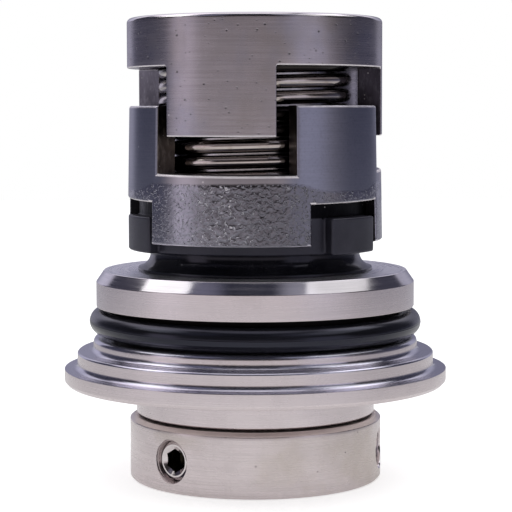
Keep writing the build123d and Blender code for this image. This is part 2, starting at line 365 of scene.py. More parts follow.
def smooth(piece: Solid, sharper_than: float = CREASE) -> None:
    """Shade a piece smooth up to an angle, with flat faces kept flat."""
    pick(piece)
    bpy.ops.object.shade_smooth_by_angle(angle=radians(sharper_than))
    modify(piece, "WEIGHTED_NORMAL", keep_sharp=True, weight=60)


def fit(piece: Solid, carrier: Carrier, slot: Slot, *nodes: str) -> Solid:
    """Put a finished piece on its CAD body in place of CAD nodes.

    Args:
        piece: The finished mesh object.
        carrier: The body it moves with.
        slot: The record's slot that its finish belongs to; not used.
        nodes: The CAD nodes it stands for.

    Returns:
        The piece.
    """
    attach(piece, carrier.value)
    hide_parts(*nodes)
    log.info("%s on %s, %d faces", piece.name, carrier.value, len(piece.data.polygons))
    return piece


class Tree:
    """Nodes of a material or a world, with the moves that both share."""

    def __init__(self, owner: bpy.types.ID) -> None:
        """Start the owner's tree anew."""
        owner.use_nodes = True
        self.nodes = owner.node_tree.nodes
        self.links = owner.node_tree.links
        self.nodes.clear()

    def add(self, kind: str, **settings: object) -> bpy.types.Node:
        """Add a node and set its properties."""
        node = self.nodes.new(kind)
        for key, value in settings.items():
            setattr(node, key, value)
        return node

    def feed(self, socket: Socket, value: object) -> None:
        """Link a socket to another, or write a plain value in it."""
        if isinstance(value, bpy.types.NodeSocket):
            self.links.new(value, socket)
        else:
            socket.default_value = value

    def math(self, kind: str, *values: object) -> Socket:
        """Result of a Math node on sockets or numbers."""
        node = self.add("ShaderNodeMath", operation=kind)
        for socket, value in zip(node.inputs, values):
            self.feed(socket, value)
        return node.outputs[0]

    def times(self, first: object, second: object) -> Socket:
        """Two values multiplied."""
        return self.math("MULTIPLY", first, second)

    def plus(self, first: object, second: object) -> Socket:
        """Two values added."""
        return self.math("ADD", first, second)

    def length(self, x: Socket, y: Socket) -> Socket:
        """Length of a level vector."""
        return self.math("SQRT", self.plus(self.times(x, x), self.times(y, y)))

    def split(self, place: Socket) -> tuple[Socket, ...]:
        """X, Y and Z of a vector."""
        node = self.add("ShaderNodeSeparateXYZ")
        self.links.new(place, node.inputs[0])
        return tuple(node.outputs)

    def level(self, value: Socket, low: float, high: float, bottom: float = 0.0, top: float = 1.0) -> Socket:
        """Value eased from bottom to top as it goes from low to high."""
        node = self.add("ShaderNodeMapRange", interpolation_type="SMOOTHSTEP")
        self.links.new(value, node.inputs["Value"])
        for key, number in (("From Min", low), ("From Max", high), ("To Min", bottom), ("To Max", top)):
            node.inputs[key].default_value = number
        return node.outputs[0]

    def blend(self, share: object, first: object, second: object) -> Socket:
        """Colour blended from first to second by a share."""
        node = self.add("ShaderNodeMix", data_type="RGBA")
        self.feed(node.inputs[0], share)
        for socket, value in ((node.inputs[6], first), (node.inputs[7], second)):
            self.feed(socket, (*value, 1.0) if isinstance(value, tuple) else value)
        return node.outputs[2]

    def over(self, colour: object, tint: object, mask: Socket, low: float, high: float,
             top: float = 1.0) -> Socket:
        """Colour with a tint laid over it, up to a top share, as a mask goes from low to high."""
        return self.blend(self.level(mask, low, high, 0.0, top), colour, tint)


class Graph(Tree):
    """Node tree of one finish."""

    def __init__(self, name: str) -> None:
        """Make an empty material whose surface is one shader."""
        self.material = bpy.data.materials.new(name)
        super().__init__(self.material)
        self.shader = self.add("ShaderNodeBsdfPrincipled")
        output = self.add("ShaderNodeOutputMaterial")
        self.links.new(self.shader.outputs["BSDF"], output.inputs["Surface"])
        self.place = self.add("ShaderNodeTexCoord").outputs["Object"]

    def surface(self, **values: object) -> None:
        """Write or link the shader's sockets, named with underscores for spaces."""
        for key, value in values.items():
            self.feed(self.shader.inputs[key.replace("_", " ")], value)

    def axes(self) -> tuple[Socket, ...]:
        """X, Y and Z of the place on the piece, in metres."""
        return self.split(self.place)

    def vector(self, x: object, y: object, z: object) -> Socket:
        """Vector of three sockets or numbers."""
        node = self.add("ShaderNodeCombineXYZ")
        for socket, value in zip(node.inputs, (x, y, z)):
            self.feed(socket, value)
        return node.outputs[0]

    def radius(self) -> Socket:
        """Distance from the shaft axis, in metres."""
        x, y, _ = self.axes()
        return self.length(x, y)

    def scaled(self, x: float, y: float, z: float) -> Socket:
        """Place on the piece with each axis multiplied."""
        node = self.add("ShaderNodeVectorMath", operation="MULTIPLY")
        self.links.new(self.place, node.inputs[0])
        node.inputs[1].default_value = (x, y, z)
        return node.outputs[0]

    def noise(self, place: Socket, scale: float = 1.0, detail: float = 2.0, rough: float = 0.5,
              distort: float = 0.0) -> Socket:
        """Noise from 0 to 1 at a place."""
        node = self.add("ShaderNodeTexNoise")
        node.inputs["Distortion"].default_value = distort
        self.links.new(place, node.inputs["Vector"])
        node.inputs["Scale"].default_value = scale
        node.inputs["Detail"].default_value = detail
        node.inputs["Roughness"].default_value = rough
        return node.outputs[0]

    def bump(self, height: Socket, depth: float, under: Socket | None = None) -> Socket:
        """Normal raised by a height whose range is a depth in millimetres."""
        node = self.add("ShaderNodeBump")
        node.inputs["Strength"].default_value = 1.0
        node.inputs["Distance"].default_value = depth * MM
        self.links.new(height, node.inputs["Height"])
        if under is not None:
            self.links.new(under, node.inputs["Normal"])
        return node.outputs[0]

    def tool_lines(self, pitch: float, run_out: float = 12.0) -> Socket:
        """Noise drawn out round the shaft axis, as a turning tool leaves it."""
        x, y, z = self.axes()
        across = self.math("MULTIPLY_ADD", z, 1.37, self.radius())
        around, along = 1.0 / (run_out * MM), 1.0 / (pitch * MM)
        turned = self.vector(self.times(x, around), self.times(y, around), self.times(across, along))
        return self.noise(turned, detail=2.5, rough=0.6)

    def openness(self, reach: float) -> Socket:
        """How open a place is within a reach in millimetres, from 0 in a nook to 1."""
        node = self.add("ShaderNodeAmbientOcclusion", samples=8)
        node.inputs["Distance"].default_value = reach * MM
        return node.outputs["AO"]

    def around(self, middle: float) -> Socket:
        """Cosine that is 1 at an angle round the shaft and at its two repeats, -1 between them."""
        x, y, _ = self.axes()
        turned = self.math("MULTIPLY_ADD", self.math("ARCTAN2", y, x), TAB_COUNT,
                           -TAB_COUNT * radians(middle))
        return self.math("COSINE", turned)

    def specks(self, spacing: float, size: float, share: float, shift: float = 0.0) -> Socket:
        """Small round marks, 1 at their middle.

        Args:
            spacing: Millimetres from cell to cell.
            size: Mark's radius as a share of the spacing.
            share: Share of the cells that hold a mark.
            shift: Moves the pattern, in cells.

        Returns:
            Mask from 0 to 1.
        """
        node = self.add("ShaderNodeTexVoronoi", feature="F1")
        moved = self.add("ShaderNodeVectorMath", operation="ADD")
        self.links.new(self.scaled(*(1.0 / (spacing * MM),) * 3), moved.inputs[0])
        moved.inputs[1].default_value = (shift, shift, shift)
        self.links.new(moved.outputs[0], node.inputs["Vector"])
        node.inputs["Scale"].default_value = 1.0
        cell = self.add("ShaderNodeSeparateColor")
        self.links.new(node.outputs["Color"], cell.inputs[0])
        mark = self.level(node.outputs["Distance"], 0.25 * size, size, 1.0, 0.0)
        return self.times(self.math("LESS_THAN", cell.outputs[0], share), mark)


# Near-black colour of painted shade, laid where little light reaches.
PAINTED_SHADE = (0.012, 0.010, 0.010)
CLOUD_TINT = (0.27, 0.27, 0.335)
CHIP_TINT = (0.95, 0.94, 0.93)


@dataclass(frozen=True)
class TurnedSteel:
    """Stainless steel off the lathe: fine lines round the axis, soft blotches, small pits."""

    name: str
    tint: Colour
    roughness: float
    line_pitch: float
    line_depth: float
    contrast: float = 0.05
    pits: float = 0.0
    clouds: float = 0.0
    stretch: float = 0.0

    def material(self) -> bpy.types.Material:
        """Build the finish."""
        graph = Graph(self.name)
        lines = graph.tool_lines(self.line_pitch, 14.0)
        wide = graph.tool_lines(self.line_pitch * 7.0, 40.0)
        drag = graph.noise(graph.scaled(1.0, 1.0, 0.12), 1500.0, 2.0, 0.6)
        blotch = graph.noise(graph.place, 260.0, 3.0, 0.6)
        cloud = graph.noise(graph.scaled(1.0, 1.0, 0.7), 130.0, 3.0, 0.65)
        dark = shaded(self.tint, 1.0 - 1.6 * self.contrast)
        light = shaded(self.tint, 1.0 + 1.4 * self.contrast)
        colour = graph.over(dark, light, lines, 0.30, 0.70)
        colour = graph.over(colour, dark, drag, 0.5, 0.8, 0.5)
        colour = graph.over(colour, dark, blotch, 0.35, 0.75, 0.4)
        colour = graph.over(colour, CLOUD_TINT, cloud, 0.42, 0.68, self.clouds)
        colour = graph.over(colour, light, wide, 0.55, 0.8, 0.3)
        normal = graph.bump(lines, self.line_depth)
        if self.pits:
            colour, normal = self.pitted(graph, colour, normal)
        if self.stretch:
            around = graph.add("ShaderNodeTangent", direction_type="RADIAL", axis="Z").outputs[0]
            graph.surface(Tangent=around, Anisotropic=self.stretch, Anisotropic_Rotation=0.25)
        rough = graph.level(lines, 0.3, 0.7, self.roughness - 0.03, self.roughness + 0.03)
        rough = graph.plus(rough, graph.level(blotch, 0.4, 0.8, 0.0, 0.05))
        graph.surface(Base_Color=colour, Metallic=1.0, Roughness=rough, Normal=normal)
        return graph.material

    def pitted(self, graph: Graph, colour: Socket, normal: Socket) -> tuple[Socket, Socket]:
        """Add brown stains, dark pits and bright chips to a colour, and the pits to a normal."""
        marks = graph.math("MAXIMUM", graph.specks(1.5, 0.15, self.pits),
                           graph.specks(0.7, 0.2, self.pits * 0.4, 3.7))
        chips = graph.specks(2.1, 0.09, self.pits * 0.2, 8.1)
        stain = graph.noise(graph.place, 75.0, 3.0, 0.55)
        colour = graph.over(colour, tinted(self.tint, (0.80, 0.79, 0.72)), stain, 0.45, 0.70, 0.8)
        colour = graph.blend(graph.times(marks, 0.6), colour, (0.06, 0.055, 0.055))
        colour = graph.blend(graph.times(chips, 0.8), colour, CHIP_TINT)
        return colour, graph.bump(graph.times(marks, -1.0), 0.04, normal)


@dataclass(frozen=True)
class CutSteel:
    """Dull faces, milled or sawn, with a tarnish, a few painted glints, and painted shade where little is
    open round them.
    """

    name: str
    tint: Colour
    grain_tint: Colour
    roughness: float
    glint_share: float
    nook: float = 4.0

    def material(self) -> bpy.types.Material:
        """Build the finish."""
        graph = Graph(self.name)
        grain = graph.noise(graph.scaled(1.0, 1.0, 0.35), 1500.0, 3.0, 0.65)
        stain = graph.noise(graph.place, 230.0, 2.0)
        glint = graph.specks(0.55, 0.22, self.glint_share)
        colour = graph.over(self.tint, shaded(self.tint, 0.55), stain, 0.35, 0.7)
        colour = graph.over(colour, self.grain_tint, grain, 0.45, 0.75, 0.5)
        # Painted glints: a few light specks.
        colour = graph.blend(graph.times(glint, 0.6), colour, (0.75, 0.72, 0.70))
        # Painted shade: darker where little is open round the face within the nook reach.
        if self.nook:
            colour = graph.over(PAINTED_SHADE, colour, graph.openness(self.nook), 0.1, 0.5)
        rough = graph.level(grain, 0.3, 0.7, self.roughness - 0.08, self.roughness + 0.1)
        graph.surface(Base_Color=colour, Metallic=1.0, Roughness=rough, Normal=graph.bump(grain, 0.03))
        return graph.material


@dataclass(frozen=True)
class CastSteel:
    """Investment casting, skimmed on the lathe above a wavering line and left rough below it, with painted
    glints, painted shade to one side and a painted highlight band.
    """

    name: str
    smooth_tint: Colour
    rough_tint: Colour
    line_z: float
    sway: float
    dip: float
    dip_middle: float
    coarse_middle: float
    shade_side_middle: float
    band_z: float
    sheen_middle: float
    sheen_tint: Colour
    relief: float

    def material(self) -> bpy.types.Material:
        """Build the finish."""
        graph = Graph(self.name)
        _, _, z = graph.axes()
        above = self.above_line(graph, z)
        lines = graph.tool_lines(0.2, 7.0)
        peel = graph.noise(graph.place, 1300.0, 1.0, 0.5, 0.4)
        grain = graph.noise(graph.place, 2600.0, 3.0, 0.65)
        patch = graph.noise(graph.place, 190.0, 2.0)
        off_crest = graph.math("ABSOLUTE", graph.math("SUBTRACT", peel, 0.5))
        broken = graph.level(graph.noise(graph.place, 1700.0, 1.0, 0.5), 0.44, 0.56)
        wrinkle_and_glint = graph.times(graph.level(off_crest, 0.0, 0.055, 1.0, 0.0), broken)
        coarse = graph.level(graph.around(self.coarse_middle), -0.35, 0.75)
        lee = graph.around(self.shade_side_middle)
        shade = shaded(self.rough_tint, 0.62)
        cast = graph.over(shade, self.rough_tint, peel, 0.36, 0.62)
        cast = graph.blend(coarse, shaded(self.rough_tint, 1.45), cast)
        cast = graph.over(cast, shade, grain, 0.4, 0.7, 0.45)
        # Painted glints: light strokes along the wrinkles' crests.
        cast = graph.blend(graph.times(wrinkle_and_glint, graph.times(coarse, 0.85)), cast, (0.82, 0.80, 0.83))
        cast = graph.over(cast, shade, patch, 0.4, 0.75, 0.35)
        # Painted shade: the rough casting darker round one angle of each repeat.
        cast = graph.over(cast, shaded(self.rough_tint, 0.60), lee, -0.2, 0.9, 0.75)
        skim = graph.over(shaded(self.smooth_tint, 0.9), self.smooth_tint, lines, 0.3, 0.7)
        skim = graph.over(skim, shaded(self.smooth_tint, 0.78), patch, 0.4, 0.8, 0.3)
        skim = graph.over(skim, shaded(self.smooth_tint, 0.70), grain, 0.45, 0.75, 0.5)
        # Painted highlight: a light band round the wall just below each notch's floor.
        band = graph.level(z, (self.band_z - 0.3) * MM, (self.band_z + 0.3) * MM, 1.0, 0.0)
        band = graph.times(band, graph.level(graph.around(self.sheen_middle), -0.2, 0.3))
        skim = graph.blend(band, skim, self.sheen_tint)
        colour = graph.blend(above, cast, skim)
        # Painted glints: a few light specks over the whole face.
        colour = graph.blend(graph.times(graph.specks(3.4, 0.07, 0.30, 1.3), 0.7), colour, (0.8, 0.78, 0.78))
        height = graph.math("MULTIPLY_ADD", wrinkle_and_glint, 0.6, graph.times(peel, 0.4))
        amount = graph.math("MULTIPLY_ADD", coarse, 0.8, 0.2)
        raised = graph.times(height, graph.times(amount, graph.math("SUBTRACT", 1.0, above)))
        normal = graph.bump(raised, self.relief, graph.bump(lines, 0.0016))
        rough = graph.level(above, 0.0, 1.0, 0.16, 0.29)
        graph.surface(Base_Color=colour, Metallic=1.0, Roughness=rough, Normal=normal)
        return graph.material

    def above_line(self, graph: Graph, z: Socket) -> Socket:
        """Mask that is 1 where the lathe has skimmed the casting and 0 below."""
        sway = graph.noise(graph.scaled(1.0, 1.0, 0.2), 120.0, 2.0)
        dip = graph.level(graph.around(self.dip_middle), 0.25, 0.95, 0.0, self.dip * MM)
        edge = graph.math("MULTIPLY_ADD", sway, self.sway * 2.0 * MM, (self.line_z - self.sway) * MM)
        return graph.level(graph.plus(graph.math("SUBTRACT", z, edge), dip), -0.35 * MM, 0.3 * MM)


@dataclass(frozen=True)
class WornHighlitEdge:
    """Rounded edge painted bright as a highlight, part matt so that it scatters light, and dull where it was
    not rubbed.
    """

    name: str
    bright: Colour
    dull: Colour
    scatter: float

    def material(self) -> bpy.types.Material:
        """Build the finish."""
        graph = Graph(self.name)
        rubbed = graph.noise(graph.place, 420.0, 3.0, 0.6)
        graph.surface(Base_Color=graph.over(self.dull, self.bright, rubbed, 0.30, 0.70),
                      Metallic=1.0 - self.scatter, Roughness=0.38, Normal=graph.bump(rubbed, 0.03))
        return graph.material


@dataclass(frozen=True)
class DrawnWire:
    """Bright spring wire with faint draw marks, a warm tarnish, and painted shade where the coils are closed
    in, in the slit between the tabs and under the cup's band.
    """

    name: str
    tint: Colour
    roughness: float
    slit_shade_middle: float
    slit_shade_low: float = 53.8
    slit_shade_high: float = 59.4
    shade_above: float = 63.4

    def material(self) -> bpy.types.Material:
        """Build the finish."""
        graph = Graph(self.name)
        lines = graph.tool_lines(0.13, 9.0)
        stain = graph.noise(graph.place, 420.0, 3.0, 0.6)
        colour = graph.over(shaded(self.tint, 0.82), self.tint, lines, 0.35, 0.7)
        colour = graph.over(colour, tinted(self.tint, (0.62, 0.54, 0.46)), stain, 0.5, 0.78, 0.6)
        # Painted shade: darker where the coils are closed in.
        colour = graph.over(PAINTED_SHADE, colour, graph.openness(9.0), 0.20, 0.46)
        # Painted shade in the slit between a cup tab and a holder tab, and near the cup's band above.
        _, _, z = graph.axes()
        slit_shade = graph.times(graph.level(z, self.slit_shade_low * MM, (self.slit_shade_low + 0.5) * MM),
                           graph.level(z, (self.slit_shade_high - 0.5) * MM, self.slit_shade_high * MM, 1.0, 0.0))
        slit_shade = graph.times(slit_shade, graph.level(graph.around(self.slit_shade_middle), 0.90, 0.96))
        dark = graph.level(z, self.shade_above * MM, (self.shade_above + 0.6) * MM, 0.0, 0.96)
        colour = graph.blend(graph.math("MAXIMUM", slit_shade, dark), colour, PAINTED_SHADE)
        rough = graph.level(stain, 0.35, 0.75, self.roughness - 0.04, self.roughness + 0.1)
        graph.surface(Base_Color=colour, Metallic=1.0, Roughness=rough, Normal=graph.bump(lines, 0.0015))
        return graph.material


@dataclass(frozen=True)
class Carbide:
    """Sintered face material, lapped or polished."""

    name: str
    tint: Colour
    roughness: float
    grain: float
    gloss: float
    gloss_tint: Colour = (0.84, 0.83, 1.0)

    def material(self) -> bpy.types.Material:
        """Build the finish."""
        graph = Graph(self.name)
        fine = graph.noise(graph.place, 5200.0, 2.0, 0.7)
        cloud = graph.noise(graph.place, 210.0, 3.0)
        light = tuple(channel * 1.6 + 0.004 for channel in self.tint)
        colour = graph.over(self.tint, light, cloud, 0.3, 0.75)
        colour = graph.over(colour, (0.16, 0.16, 0.17), fine, 0.62, 0.78, 0.35)
        rough = graph.level(fine, 0.3, 0.7, self.roughness - 0.04, self.roughness + 0.08)
        graph.surface(Base_Color=colour, Roughness=rough, Normal=graph.bump(fine, self.grain))
        graph.surface(Specular_IOR_Level=self.gloss, Specular_Tint=(*self.gloss_tint, 1.0))
        return graph.material


@dataclass(frozen=True)
class Rubber:
    """Black elastomer with a satin skin, a few dust specks and a faint mould grain."""

    name: str
    tint: Colour
    roughness: float
    gloss: float = 0.45
    gloss_tint: Colour = (0.74, 0.76, 1.0)

    def material(self) -> bpy.types.Material:
        """Build the finish."""
        graph = Graph(self.name)
        skin = graph.noise(graph.place, 1900.0, 2.0, 0.6)
        wipe = graph.tool_lines(1.3, 22.0)
        dust = graph.specks(1.7, 0.055, 0.22)
        colour = graph.over(self.tint, shaded(self.tint, 1.9), wipe, 0.4, 0.75)
        colour = graph.blend(graph.times(dust, 0.55), colour, (0.42, 0.42, 0.44))
        rough = graph.level(wipe, 0.3, 0.75, self.roughness - 0.05, self.roughness + 0.1)
        graph.surface(Base_Color=colour, Roughness=rough, Normal=graph.bump(skin, 0.003))
        graph.surface(Specular_IOR_Level=self.gloss, Specular_Tint=(*self.gloss_tint, 1.0))
        return graph.material


@dataclass(frozen=True)
class Filled:
    """Filled plastic of the guide bush, with turning marks."""

    name: str
    tint: Colour

    def material(self) -> bpy.types.Material:
        """Build the finish."""
        graph = Graph(self.name)
        lines = graph.tool_lines(0.3)
        cloud = graph.noise(graph.place, 300.0, 3.0)
        graph.surface(Base_Color=graph.over(self.tint, shaded(self.tint, 1.5), cloud, 0.3, 0.7),
                      Roughness=graph.level(lines, 0.3, 0.7, 0.42, 0.55), Normal=graph.bump(lines, 0.006))
        return graph.material


class Look(Enum):
    """Finishes of the seal's faces."""

    CUP = TurnedSteel("cup_steel", (0.345, 0.315, 0.340), 0.27, 0.24, 0.0018, 0.085, pits=0.55, clouds=0.5)
    PLATE = TurnedSteel("plate_steel", (0.62, 0.556, 0.568), 0.25, 0.24, 0.0014, 0.035)
    PLATE_FACE = TurnedSteel("plate_face", (0.70, 0.69, 0.75), 0.28, 0.30, 0.0030)
    # Painted highlight: a lighter copy of the collar's steel for its top bevel.
    BEVEL = TurnedSteel("lit_bevel_steel", (0.80, 0.735, 0.70), 0.34, 0.20, 0.0020)
    POLISHED = TurnedSteel("polished_steel", (0.62, 0.59, 0.61), 0.12, 0.13, 0.0012)
    STEP = TurnedSteel("step_steel", (0.52, 0.51, 0.585), 0.19, 0.13, 0.0010, stretch=0.9)
    COLLAR = TurnedSteel("collar_steel", (0.61, 0.545, 0.55), 0.27, 0.32, 0.0018, pits=0.05)
    SLEEVE = TurnedSteel("sleeve_steel", (0.50, 0.475, 0.485), 0.24, 0.2, 0.0015)
    SCREW = TurnedSteel("screw_steel", (0.66, 0.61, 0.61), 0.13, 0.14, 0.0012, 0.07)
    CUP_FLANK = CutSteel("cup_flank", (0.19, 0.18, 0.225), (0.36, 0.34, 0.40), 0.40, 0.06)
    # Painted shade: a darker copy of the flank finish for the tab sides that look clockwise.
    DARK_FLANK = CutSteel("shaded_flank", (0.045, 0.040, 0.053), (0.13, 0.12, 0.145), 0.38, 0.16)
    HOLDER_FLANK = CutSteel("holder_flank", (0.12, 0.098, 0.085), (0.26, 0.22, 0.19), 0.36, 0.08)
    # Painted shade: near-black steel put where there is only shade, in the holder's skirt, above the face's
    # lugs and in the ring's groove.
    GREASE = CutSteel("black_painted_shade", (0.008, 0.008, 0.010), (0.022, 0.021, 0.024), 0.45, 0.02)
    # Dark brown colour in the screws' hex sockets.
    SOCKET = CutSteel("dark_socket", (0.050, 0.043, 0.030), (0.16, 0.14, 0.095), 0.30, 0.06, nook=0.0)
    # Painted highlights: rounded edges far lighter than the steel beside them, for the light they catch.
    EDGE = WornHighlitEdge("worn_edge_highlight", (0.72, 0.69, 0.74), (0.50, 0.48, 0.53), 0.25)
    BRIGHT_EDGE = WornHighlitEdge("bright_edge_highlight", (0.84, 0.79, 0.82), (0.66, 0.62, 0.65), 0.55)
    HOLDER = CastSteel("holder_steel", smooth_tint=(0.246, 0.250, 0.312), rough_tint=(0.222, 0.218, 0.250),
                       line_z=46.8, sway=0.25, dip=1.15, dip_middle=-44.8, coarse_middle=-90.0,
                       shade_side_middle=-72.0, band_z=48.7, sheen_middle=-104.8, sheen_tint=(0.37, 0.345, 0.375),
                       relief=0.24)
    SPRING = DrawnWire("spring_steel", (0.58, 0.52, 0.49), 0.14, -74.2)
    FACE = Carbide("face_carbide", (0.011, 0.0105, 0.016), 0.40, 0.005, 0.50)
    SEAT = Carbide("seat_carbide", (0.003, 0.003, 0.005), 0.12, 0.0005, 0.30)
    RUBBER = Rubber("ring_rubber", (0.005, 0.005, 0.007), 0.22)
    BUSH = Filled("bush_ptfe", (0.10, 0.075, 0.05))


@cache
def finish(look: Look) -> bpy.types.Material:
    """Material of a look, built when it is first asked for."""
    return look.value.material()


def dress(piece: Solid, base: Look, *others: tuple[Look, FaceTest]) -> None:
    """Give a piece its finish, and other finishes to the faces that pass a test.

    Args:
        piece: The mesh object.
        base: Finish of the whole piece.
        others: Pairs of a finish and the test for its faces.
    """
    piece.data.materials.clear()
    piece.data.materials.append(finish(base))
    for index, (look, test) in enumerate(others, start=1):
        piece.data.materials.append(finish(look))
        if select_faces(piece, test):
            piece.active_material_index = index
            bpy.ops.object.material_slot_assign()
        close_mesh()


def faces_round(spot: Vector, normal: Vector) -> float:
    """How far a face looks anticlockwise round the shaft, from -1 to 1."""
    return normal.dot(Vector((-spot.y, spot.x, 0.0)).normalized())


def is_flank(spot: Vector, normal: Vector) -> bool:
    """Whether a face looks round the shaft, as the sides of a notch do."""
    return abs(faces_round(spot, normal)) > FLANK


def looks_back(spot: Vector, normal: Vector) -> bool:
    """Whether a face looks round the shaft, clockwise."""
    return faces_round(spot, normal) < -FLANK


def is_rim(spot: Vector, normal: Vector) -> bool:
    """Whether a face is a rounded edge between an outer wall and a level face."""
    away = normal.dot(Vector((spot.x, spot.y, 0.0)).normalized())
    return away > 0.2 and 0.25 < abs(normal.z) < 0.97


def turned_copy(piece: Solid, angle: float) -> Solid:
    """Copy of a finished piece with its own mesh, turned anticlockwise round the shaft."""
    pick(piece)
    bpy.ops.object.duplicate(linked=False)
    rotate(angle)
    bpy.ops.object.transform_apply(location=True, rotation=True, scale=True)
    return bpy.context.active_object


@dataclass
class DriveCup:
    """Steel cup over the spring, with three tabs that reach down between the holder's tabs."""

    outer_r: float = 20.0
    spring_r: float = 16.3
    lip_r: float = 12.72
    head_r: float = 14.82
    tab_z: float = 53.95
    band_z: float = 64.45
    ceiling_z: float = 65.99
    lip_z: float = 68.19
    top_z: float = 72.185
    top_edge: float = 0.75
    wall_foot: float = 1.2
    tab_middle: float = -106.0
    tab_width: float = 50.6
    edge: float = 0.2

    def build(self) -> Solid:
        """Turn the cup's band, draw its tabs down and dress it."""
        window = PITCH_DEG - self.tab_width
        crown_z = self.top_z - self.top_edge
        profile = [
            (self.spring_r, self.band_z), (self.outer_r, self.band_z),
            *run((self.outer_r, self.band_z + self.wall_foot), (self.outer_r, crown_z), 3),
            *arc((self.outer_r - self.top_edge, crown_z), self.top_edge, 9, 90, 9),
            (self.head_r, self.top_z),
            (self.head_r, self.lip_z), (self.lip_r, self.lip_z),
            (self.lip_r, self.ceiling_z), (self.spring_r, self.ceiling_z),
        ]
        spans = [Span(self.tab_width, 24), Span(window, 32)] * TAB_COUNT
        cup = turn("drive_cup_body", profile, spans, on_shaft(self.tab_middle - self.tab_width / 2))
        select_faces(cup, self.is_tab_foot)
        extrude_up(self.tab_z - self.band_z)
        round_edges(cup, self.edge)
        smooth(cup)
        # Tab sides that look clockwise get painted shade, the rims a painted highlight.
        dress(cup, Look.CUP, (Look.CUP_FLANK, is_flank), (Look.DARK_FLANK, looks_back),
              (Look.BRIGHT_EDGE, is_rim), (Look.POLISHED, self.is_crown))
        return fit(cup, Carrier.DRIVE, Slot.CUP, "drive_cup")

    def is_crown(self, spot: Vector, normal: Vector) -> bool:
        """Whether a face is part of the rounding round the cup's top."""
        return spot.z > self.top_z - self.top_edge and 0.2 < normal.z < 0.999

    def is_tab_foot(self, spot: Vector, normal: Vector) -> bool:
        """Whether a face of the band's underside carries a tab."""
        return is_level_at(spot, normal, self.band_z) and in_any(spot, self.tab_middle, self.tab_width)


